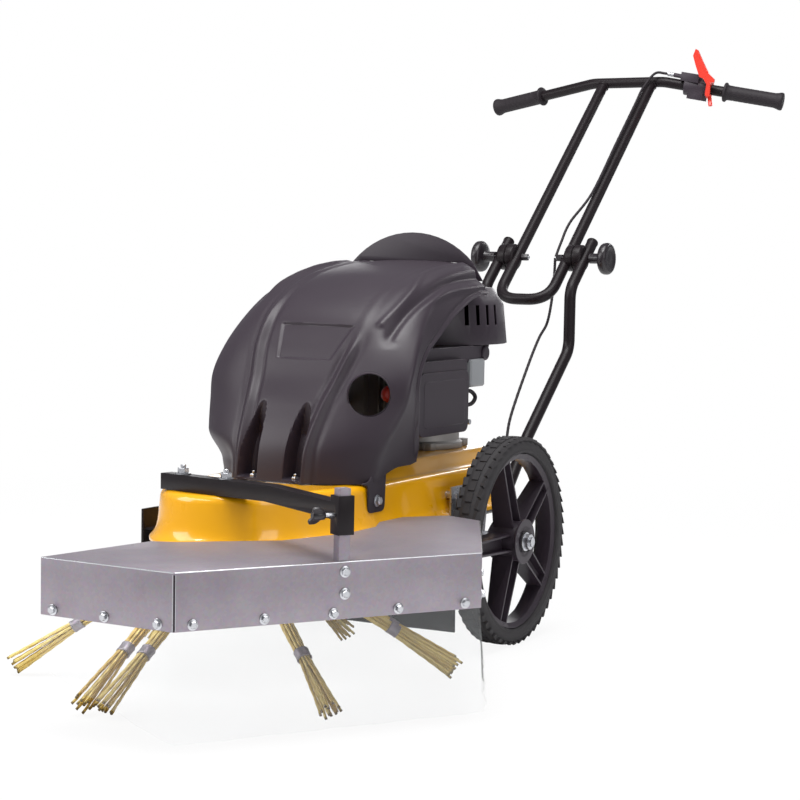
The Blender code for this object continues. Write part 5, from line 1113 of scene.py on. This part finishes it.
print("hood fixings 3")

# %% [markdown]
# ## Cables, hose and flap
#
# A control cable is a steel wire in a rubber sheath and hangs in an easy curve, so each one is swept along a
# smooth line through the places that it passes. The sheath has shallow rings close together, which catch the
# light as fine dashes. The breather hose is swept the same way, but thicker. The flap between the wheels is
# a rubber sheet, hung from the base plate, with one slow wave along its lower edge.

# %% Cables and hose


def rod_piece(name, coat, body, start, along, profile, sides, stands_for=(), crease=32):
    bm = bmesh.new()
    rod(bm, start, along, profile, sides)
    return piece(bm, name, coat, body, stands_for, crease)


def flow(points, per_step=8):
    """A smooth line through the given machine places."""
    return smooth_line([at(*p) for p in points], per_step)


def sweep(bm, line, radius, sides=12, ribbed=0.0):
    """A round tube along a line of places. Its rings keep their turn, and ribs swell every other ring."""
    side = upright(line[1] - line[0])[0]
    rings = []
    for k, spot in enumerate(line):
        onward = (line[min(k + 1, len(line) - 1)] - line[max(k - 1, 0)]).normalized()
        side = (side - onward * side.dot(onward)).normalized()
        rings.append(round_ring(bm, spot, side, onward.cross(side), radius + (ribbed if k % 2 else 0.0), sides))
    capped(bm, rings)


UPPER_ROUTE = [(0.1050, 1.0009, 1.0346), (0.0858, 0.9979, 1.0380), (0.0664, 0.9889, 1.0374), (0.0510, 0.9641, 1.0066),
               (0.0510, 0.9196, 0.9663), (0.0510, 0.8307, 0.8857), (0.0510, 0.7122, 0.7782), (0.0315, 0.6506, 0.7174),
               (0.0275, 0.6192, 0.6776), (0.0275, 0.5958, 0.6498)]
LOWER_ROUTE = [(0.0275, 0.593, 0.6467), (0.0275, 0.590, 0.610), (0.0305, 0.574, 0.562), (0.0375, 0.540, 0.520),
               (0.0450, 0.488, 0.492), (0.0500, 0.430, 0.440), (0.0530, 0.355, 0.350), (0.0670, 0.308, 0.298),
               (0.0800, 0.262, 0.269), (0.0850, 0.228, 0.262), (0.0850, 0.2083, 0.262)]
HOSE_ROUTE = [(0.138, -0.0274, 0.4205), (0.138, -0.008, 0.4220), (0.140, 0.018, 0.4200), (0.141, 0.033, 0.4095),
              (0.140, 0.022, 0.3990), (0.138, -0.006, 0.3970), (0.138, -0.0274, 0.3960)]
CABLES = [("upper_cable_sheath", "upper_cable", "handle", UPPER_ROUTE, 14, 0.0025, 12, 0.0003),
          ("lower_cable_sheath", "lower_cable", "chassis", LOWER_ROUTE, 16, 0.0025, 12, 0.0003),
          ("breather_hose_swept", "breather_hose", "chassis", HOSE_ROUTE, 8, 0.0035, 18, 0.0)]
for name, cad_name, body, route, steps, radius, sides, ribbed in CABLES:
    bm = bmesh.new()
    sweep(bm, flow(route, steps), radius, sides, ribbed)
    piece(bm, name, grip_rubber, body, [cad_name])

OUT_WAY = Vector((0.9734, 0.1519, -0.1713)).normalized()
FERRULE = [(0, 0.0036), (0.0006, 0.0042), (0.0050, 0.0042), (0.0054, 0.0034), (0.0064, 0.0034), (0.0068, 0.0042),
           (0.0134, 0.0042)]
rod_piece("cable_ferrule", zinc_plate, "handle", at(*UPPER_ROUTE[0]) - OUT_WAY * 0.014, OUT_WAY, FERRULE, 20)
run = flow(UPPER_ROUTE)
print("upper cable about", round(sum((b - a).length for a, b in zip(run, run[1:])), 3), "m")

# %% Rear flap
FLAP_X, FLAP_Y, FLAP_TOP, FLAP_FOOT, FLAP_THICK = 0.193, -0.1285, 0.2105, 0.0345, 0.0034
ACROSS, UPWARDS = 60, 14
bm = bmesh.new()
grid = []
for j in range(UPWARDS + 1):
    share = j / UPWARDS
    row = []
    for i in range(ACROSS + 1):
        wave = 0.0016 * math.sin(i / ACROSS * 7.0 + 0.6) * (1 - share) ** 1.5
        row.append(bm.verts.new(at(-FLAP_X + 2 * FLAP_X * i / ACROSS, FLAP_Y + wave,
                                   FLAP_FOOT + (FLAP_TOP - FLAP_FOOT) * share)))
    grid.append(row)
weave(bm, grid)
flap_area = sum(face.calc_area() for face in bm.faces)
flap = piece(bm, "rubber_flap", tyre_rubber, "chassis", ["rear_flap"], crease=60)
give_wall(flap, FLAP_THICK)
print("flap area", round(flap_area, 4), "square metres")

# %% [markdown]
# ## Handle fittings
#
# The clamp knobs are turned mushrooms of glossy moulded plastic on a steel bolt, with a shallow recess in the
# head. Each bolt ends in a nut on the inside of the leg. The grips are sleeves of soft rubber with a rounded
# guard ring at the inner end and a flared outer end.

# %% Clamp knobs
knob_plastic = finish("glossy_moulded_nylon", "231E22", 0.30, gloss=(90.0, 3.0, 0.24, 0.38))
PIVOT_Y, PIVOT_Z = 0.593, 0.647
HEAD = [(0.0, 0.0100), (0.0180, 0.0100), (0.0225, 0.0120), (0.0240, 0.0200), (0.0252, 0.0265), (0.0275, 0.0295),
        (0.0310, 0.0308), (0.0360, 0.0310), (0.0395, 0.0302), (0.0420, 0.0280), (0.0432, 0.0245), (0.0430, 0.0225),
        (0.0415, 0.0205), (0.0410, 0.0100), (0.0418, 0.0060), (0.0420, 0.0010)]
for side, word in SIDES:
    way = X_WAY * side
    bm = bmesh.new()
    rod(bm, at(side * 0.1023, PIVOT_Y, PIVOT_Z), way, HEAD, 48)
    rod(bm, at(side * 0.0317, PIVOT_Y, PIVOT_Z), way, [(0, 0.0068), (0.0012, 0.0075), (0.0120, 0.0075)], 6)
    piece(bm, f"clamp_head_{word}", knob_plastic, f"clamp_{word}", [f"clamp_knob_{word}"], crease=38)
    rod_piece(f"clamp_screw_{word}", zinc_plate, f"clamp_{word}", at(side * 0.0290, PIVOT_Y, PIVOT_Z), way,
              [(0, 0.0028), (0.0007, 0.0036), (0.0740, 0.0036)], 20)
print("knob radius", max(r for _, r in HEAD))

# %% Grips
GRIP_LINE = [(0.0, 0.0150), (0.0010, 0.0192), (0.0030, 0.0204), (0.0055, 0.0200), (0.0075, 0.0172), (0.0100, 0.0156)]
for k in range(8):
    middle = 0.020 + k * 0.0105
    GRIP_LINE += [(middle, 0.0154), (middle + 0.0018, 0.0151), (middle + 0.0036, 0.0154)]
GRIP_LINE += [(0.1080, 0.0154), (0.1140, 0.0166), (0.1190, 0.0183), (0.1230, 0.0186), (0.1250, 0.0178),
              (0.1258, 0.0150)]
for side, word in SIDES:
    way = Vector((side * OUT_WAY.x, OUT_WAY.y, OUT_WAY.z))
    rod_piece(f"grip_sleeve_{word}", grip_rubber, "handle", at(side * 0.330, 1.044, 0.977) - way * 0.126, way,
              GRIP_LINE, 40, [f"grip_{word}"], crease=40)
print("grips", len(GRIP_LINE), "rings each")

# %% [markdown]
# ## Handle tubes
#
# Round tube is what the eye follows on a handle, so the frame and the two lower tubes are swept again with a
# fine profile. Each bend is rounded to about the radius of the tube bender's die. The clamp faces are turned
# discs with a ring of teeth, the crossbar's joints have a weld bead, and the lower tubes end in domed plugs.

# %% Bent tubes


def bend(points, radius, steps=10):
    """Machine places joined by straight runs, with each corner rounded to a bend."""
    points = [at(*p) for p in points]
    line = [points[0]]
    for a, b, c in zip(points, points[1:], points[2:]):
        into, onward = (b - a).normalized(), (c - b).normalized()
        back = min(radius * math.tan(into.angle(onward) / 2), (b - a).length * 0.48, (c - b).length * 0.48)
        for j in range(steps + 1):
            t = j / steps
            line.append((b - into * back) * (1 - t) ** 2 + b * 2 * t * (1 - t) + (b + onward * back) * t * t)
    return line + [points[-1]]


def ring_bead(bm, centre, axis, radius, thick, count=28):
    """A weld bead round a tube, a little uneven."""
    axis = Vector(axis).normalized()
    a, b = upright(axis)
    rings = []
    for k in range(count):
        way = a * math.cos(math.tau * k / count) + b * math.sin(math.tau * k / count)
        swell = thick * (1.0 + 0.18 * math.sin(k * 2.3))
        rings.append(round_ring(bm, centre + way * radius, way, axis, swell, 8))
    bmesh.ops.recalc_face_normals(bm, faces=loft(bm, rings, closed=True))


def clamp_face(bm, start, way, depth, teeth=24):
    """A turned disc whose outer face has a ring of teeth, for a joint that must not slip."""
    rod(bm, start, way, [(0.0, 0.0215), (0.0025, 0.0250), (0.0050, 0.0260), (depth - 0.0012, 0.0260),
                         (depth - 0.0004, 0.0252)], 40)
    a, b = upright(way)
    for k in range(teeth):
        angle = math.tau * k / teeth
        out_way = a * math.cos(angle) + b * math.sin(angle)
        rod(bm, start + way * (depth - 0.0008) + out_way * 0.0150, out_way, [(0, 0.0007), (0.0095, 0.0011)], 6)


TUBE_R, TUBE_SIDES = 0.011, 28
LEG_WAY = Vector((0, 0.741, 0.672))
bm = bmesh.new()
legs = [(-0.055, 1.0006, 1.0170), (-0.055, 0.5041, 0.5664), (0.055, 0.5041, 0.5664), (0.055, 1.0006, 1.0170)]
bar = [(-0.330, 1.044, 0.977), (-0.080, 1.005, 1.021), (0.080, 1.005, 1.021), (0.330, 1.044, 0.977)]
sweep(bm, bend(legs, 0.045, 14), TUBE_R, TUBE_SIDES)
sweep(bm, bend(bar, 0.090, 10), TUBE_R, TUBE_SIDES)
for side, word in SIDES:
    clamp_face(bm, at(side * 0.055, PIVOT_Y, PIVOT_Z), X_WAY * side, 0.0172)
    ring_bead(bm, at(side * 0.055, 0.9960, 1.0130), LEG_WAY, 0.0112, 0.0017)
frame_tube = piece(bm, "handle_tubes", tube_coat, "handle", ["handle_frame"], crease=34)
print("handle tubes", [round(v, 3) for v in frame_tube.dimensions])

# %% Lower tubes
RUN = [(0.6271, 0.6779), (0.527, 0.5871), (0.527, 0.472), (0.351, 0.317), (0.246, 0.1999), (-0.060, 0.1999)]
PLUG = [(0, 0.0110), (0.0006, 0.0116), (0.0030, 0.0112), (0.0044, 0.0096), (0.0051, 0.0066), (0.0054, 0.0022)]
for side, word in SIDES:
    x = side * 0.091
    bm = bmesh.new()
    sweep(bm, bend([(x, *spot) for spot in RUN], 0.045, 12), TUBE_R, TUBE_SIDES)
    clamp_face(bm, at(x, PIVOT_Y, PIVOT_Z), X_WAY * -side, 0.0182)
    rod(bm, at(x, *RUN[0]) - LEG_WAY * 0.0012, LEG_WAY, PLUG, 28)
    piece(bm, f"lower_tube_swept_{word}", tube_coat, "chassis", [f"lower_tube_{word}"], crease=34)
print("lower tubes 2")

# %% [markdown]
# ## Engine details
#
# The air filter cover is a rounded box, with a lid that laps over its rim and a raised panel on its side. A
# dark shroud closes the gap between the fan housing and the cover. The wheels get a washer sunk in a dark
# ring round each axle nut. The arm's nuts are drawn with their washers and thread ends.

# %% Filter cover and shroud


def box_corners(y_low, y_high, z_low, z_high):
    return [(y_low, z_low), (y_high, z_low), (y_high, z_high), (y_low, z_high)]


bm = bmesh.new()
side_plate(bm, 0.104, 0.056, box_corners(-0.200, -0.028, 0.3565, 0.4600), 0.016, 8)
side_plate(bm, 0.106, 0.0515, [(-0.198, 0.4560), (-0.030, 0.4560), (-0.030, 0.4670), (-0.034, 0.4785),
                               (-0.192, 0.4785), (-0.198, 0.4670)], 0.006)
side_plate(bm, 0.158, 0.0026, box_corners(-0.186, -0.042, 0.3700, 0.4460), 0.010, 6)
cover = piece(bm, "filter_cover", hood_plastic, "chassis", ["air_filter_cover"], crease=30)
round_edges(cover, 0.0026, 50, 3)
bm = bmesh.new()
side_plate(bm, 0.120, 0.024, [(-0.170, 0.4700), (0.050, 0.4700), (0.054, 0.4980), (-0.170, 0.4980)], 0.006)
rod(bm, at(0.120, 0.060, 0.484), X_WAY, [(0, 0.013), (0.026, 0.013), (0.028, 0.011)], 28)
round_edges(piece(bm, "intake_shroud", hood_plastic, "chassis", crease=30), 0.0015)
print("filter cover", [round(v, 3) for v in cover.dimensions])

# %% Wheel washers and arm nuts
WHEEL_DISCS = [("hub_disc", hood_plastic, 0.2530, 56, [(0, 0.0355), (0.0008, 0.0372), (0.0034, 0.0376),
                                                       (0.0040, 0.0368)]),
               ("axle_seal", tyre_rubber, 0.2571, 40, [(0, 0.0180), (0.0006, 0.0185), (0.0010, 0.0180)]),
               ("axle_washer", zinc_plate, 0.2580, 36, [(0, 0.0150), (0.0004, 0.0158), (0.0012, 0.0158),
                                                        (0.0016, 0.0152)])]
NUT_PARTS = [(0, 30, 0.0, [(0, 0.0112), (0.0003, 0.0118), (0.0014, 0.0118), (0.0017, 0.0112)]),
             (0.0018, 6, 0.3, [(0, 0.0080), (0.0008, 0.0088), (0.0070, 0.0088), (0.0080, 0.0078)]),
             (0.0098, 18, 0.0, [(0, 0.0042), (0.0040, 0.0042), (0.0050, 0.0034)])]
for side, word in SIDES:
    for name, coat, x, sides, profile in WHEEL_DISCS:
        rod_piece(f"{name}_{word}", coat, f"wheel_{word}", at(side * x, 0, WHEEL_R), X_WAY * side, profile, sides)
bm = bmesh.new()
for x, y in ((-0.045, -0.561), (0.042, -0.5757)):
    for rise, sides, turn, profile in NUT_PARTS:
        rod(bm, at(x, y, 0.3170 + rise), Z_WAY, profile, sides, turn)
piece(bm, "arm_nuts", zinc_plate, "chassis", ["arm_bolt_far", "arm_bolt_near"])
print("washers and nuts placed")

# %% [markdown]
# ## Folds of the guard
#
# Where the sheet is folded down, each fold catches the light as a thin pale line. This highlight is painted:
# a thin rod of bright zinc plate runs along each fold. At the front corner the two turned-down faces only
# meet, and the seam stays open. The shade inside the gap is painted by a rod of dark plastic, and the glints
# on the two cut edges are painted by thin rods of bright zinc plate.

# %% Painted fold highlights, and painted shade and glints in the corner seam
FOLD_R, FOLD_Z = 0.0009, GUARD_TOP - 0.0006
SEAM_FOOT, SEAM_LENGTH = GUARD_TOP - GUARD_DEPTH + 0.001, GUARD_DEPTH - 0.004
# Painted highlight: a bright zinc rod along each fold stands in for the fold's highlight.
bm = bmesh.new()
for a, b in zip(GUARD, GUARD[1:]):
    start, end = at(*a, FOLD_Z), at(*b, FOLD_Z)
    way = (end - start).normalized()
    inward = Vector((-way.y, way.x, 0)) * 0.0006
    rod(bm, start + inward + way * 0.001, way, [(0, FOLD_R), ((end - start).length - 0.002, FOLD_R)], 10)
piece(bm, "fold_highlight_rods", zinc_plate, "guard")
corner = Vector(GUARD[1])
# Painted highlight: two thin zinc rods stand in for the glints on the seam's cut edges.
bm = bmesh.new()
for neighbour, shift in ((GUARD[0], 0.0004), (GUARD[2], -0.0004)):
    way = (Vector(neighbour) - corner).normalized()
    spot = corner + way * 0.0022 + Vector((way.y, -way.x)) * shift
    rod(bm, at(spot.x, spot.y, SEAM_FOOT), Z_WAY, [(0, 0.0007), (SEAM_LENGTH, 0.0007)], 8)
piece(bm, "seam_edge_glints", zinc_plate, "guard")
# Painted shade: a dark plastic rod in the open seam stands in for the shade inside the gap.
rod_piece("seam_gap_shade", hood_plastic, "guard", at(corner.x, corner.y + 0.0006, SEAM_FOOT), Z_WAY,
          [(0, 0.0013), (SEAM_LENGTH, 0.0013)], 10)
print("folds", len(GUARD) - 1)

# %% [markdown]
# ## Pressed deck
#
# The deck is drawn from one sheet, so it has no sharp edge at all. Its wall runs out into a flange through a
# hollow radius, and into the top through a round one. The outline is a half circle over the brush that widens
# into straight sides. Behind the lobe the top rises to a raised bed for the engine. Each ring of the skin is
# the outline, and its row gives how far it is moved out, its height and its share of the bed's rise. The hole
# lets the crankshaft through.

# %% Deck skin
LOBE_R, LOBE_Y, DECK_HALF, WIDE_Y, REAR_Y, REAR_R = 0.118, -0.483, 0.146, -0.335, 0.200, 0.045
EDGE_Z, BED_RISE, BED_START, BED_END, DECK_WALL = 0.2922, 0.0213, -0.385, -0.290, 0.002
DECK_RINGS = [(0.0140, 0.2145, 0), (0.0142, 0.2188, 0), (0.0134, 0.2208, 0), (0.0118, 0.2222, 0), (0.0096, 0.2246, 0),
              (0.0072, 0.2280, 0), (0.0051, 0.2322, 0), (0.0034, 0.2374, 0), (0.0020, 0.2440, 0), (0.0009, 0.2530, 0),
              (-0.0004, 0.2660, 0), (-0.0016, 0.2795, 0), (-0.0026, 0.2842, 0), (-0.0045, 0.2878, 0),
              (-0.0072, 0.2903, 0), (-0.0105, 0.2917, 0), (-0.0145, EDGE_Z, 0), (-0.0165, EDGE_Z, 0.03),
              (-0.0200, EDGE_Z, 0.13), (-0.0300, EDGE_Z, 0.51), (-0.0395, EDGE_Z, 0.87), (-0.0425, EDGE_Z, 0.97),
              (-0.0445, EDGE_Z, 1.0)]


def deck_outline():
    """Right half of the outline from the front to the back, as (place, outward direction) pairs."""
    points = [(LOBE_R * math.sin(math.pi / 2 * k / 28), LOBE_Y - LOBE_R * math.cos(math.pi / 2 * k / 28))
              for k in range(29)]
    for k in range(1, 25):
        y = LOBE_Y + (WIDE_Y - LOBE_Y) * k / 24
        points.append((LOBE_R + (DECK_HALF - LOBE_R) * soft_step(LOBE_Y, WIDE_Y, y), y))
    points += [(DECK_HALF, WIDE_Y + (REAR_Y - REAR_R - WIDE_Y) * k / 30) for k in range(1, 30)]
    points += [(DECK_HALF - REAR_R * (1 - math.cos(math.pi / 2 * k / 14)),
                REAR_Y - REAR_R * (1 - math.sin(math.pi / 2 * k / 14))) for k in range(15)]
    placed = []
    for k, point in enumerate(points):
        before = Vector(points[k - 1]) if k else Vector((-points[1][0], points[1][1]))
        after = Vector(points[k + 1]) if k + 1 < len(points) else Vector(point) + Vector((-1, 0))
        run = (after - before).normalized()
        placed.append((Vector(point), Vector((run.y, -run.x))))
    return placed


outline = deck_outline()
bm = bmesh.new()
rings = []
for grow, z, rise in DECK_RINGS:
    half = []
    for place, outward in outline:
        spot = place + outward * grow
        bed = BED_RISE * soft_step(BED_START, BED_END, place.y) * rise
        half.append((max(spot.x, 0.0), spot.y, z + bed))
    rings.append([bm.verts.new(at(*p)) for p in half] + [bm.verts.new(at(-x, y, z)) for x, y, z in half[:0:-1]])
loft(bm, rings)
top = rings[-1]
for k in range(len(outline) - 1):
    corners = [top[k], top[k + 1], top[len(top) - k - 1], top[(len(top) - k) % len(top)]]
    bm.faces.new(list(dict.fromkeys(corners)))
bmesh.ops.recalc_face_normals(bm, faces=bm.faces)
if max(bm.faces, key=lambda f: f.calc_center_median().z).normal.z < 0:
    bmesh.ops.reverse_faces(bm, faces=bm.faces)
pressed = cut_sheet(bm, "deck_shell", DECK_WALL, at(0, 0.080, 0.26), Z_WAY, 0.0185, 48)
place_piece(pressed, "deck_shell", yellow_coat, "chassis", ["deck"], crease=40)
rod_piece("cable_boss", zinc_plate, "chassis", at(0.085, 0.1965, 0.262), Y_WAY,
          [(0, 0.0070), (0.0100, 0.0070), (0.0115, 0.0062)], 24)
print("deck", len(pressed.polygons), "faces")

# %% [markdown]
# The screw that holds the guard's post is a wing screw: two rounded wings on a small hub, on a zinc plated
# shaft.

# %% Wing screw of the guard
SHEET, HALF_POST, GAP, SCREW_Z = 0.002, 0.0085, 0.0003, 0.300
middle_face = (Vector(GUARD[2]) - Vector(GUARD[1])).normalized()
outward = Vector((middle_face.y, -middle_face.x))
post = Vector(GUARD[1]).lerp(Vector(GUARD[2]), POST_SHARE) - outward * (SHEET + HALF_POST + GAP)
screw_way = Vector((outward.y, -outward.x, 0))
screw_start = at(post.x, post.y, SCREW_Z) + screw_way * (HALF_POST + GAP)
rod_piece("wing_screw_shaft", zinc_plate, "guard_clamp", screw_start, screw_way,
          [(0, 0.0024), (0.0006, 0.0030), (0.0260, 0.0030)], 20, crease=40)
bm = bmesh.new()
hub_spot = screw_start + screw_way * 0.0180
rod(bm, hub_spot, screw_way, [(0, 0.0048), (0.0012, 0.0060), (0.0080, 0.0066), (0.0170, 0.0062), (0.0190, 0.0050)])
wing_side, wing_over = upright(screw_way)
tilt = math.radians(52)
wing_way = (wing_side * math.cos(tilt) + wing_over * math.sin(tilt)).normalized()
wing_flat = screw_way.cross(wing_way)
half_wing = round_corners([(0.0030, 0.0040), (0.0030, 0.0160), (0.0090, 0.0215), (0.0148, 0.0205), (0.0146, 0.0100),
                           (0.0085, 0.0050)], 0.0032, 4)
for sign in (-1, 1):
    slab(bm, [(x * sign, y) for x, y in half_wing], hub_spot - wing_flat * 0.0024, wing_way, screw_way, wing_flat,
         0.0048)
wings = piece(bm, "wing_screw_head", knob_plastic, "guard_clamp", ["guard_knob"], crease=40)
round_edges(wings, 0.0009, 50)
print("wing screw", [round(v, 4) for v in wings.dimensions])
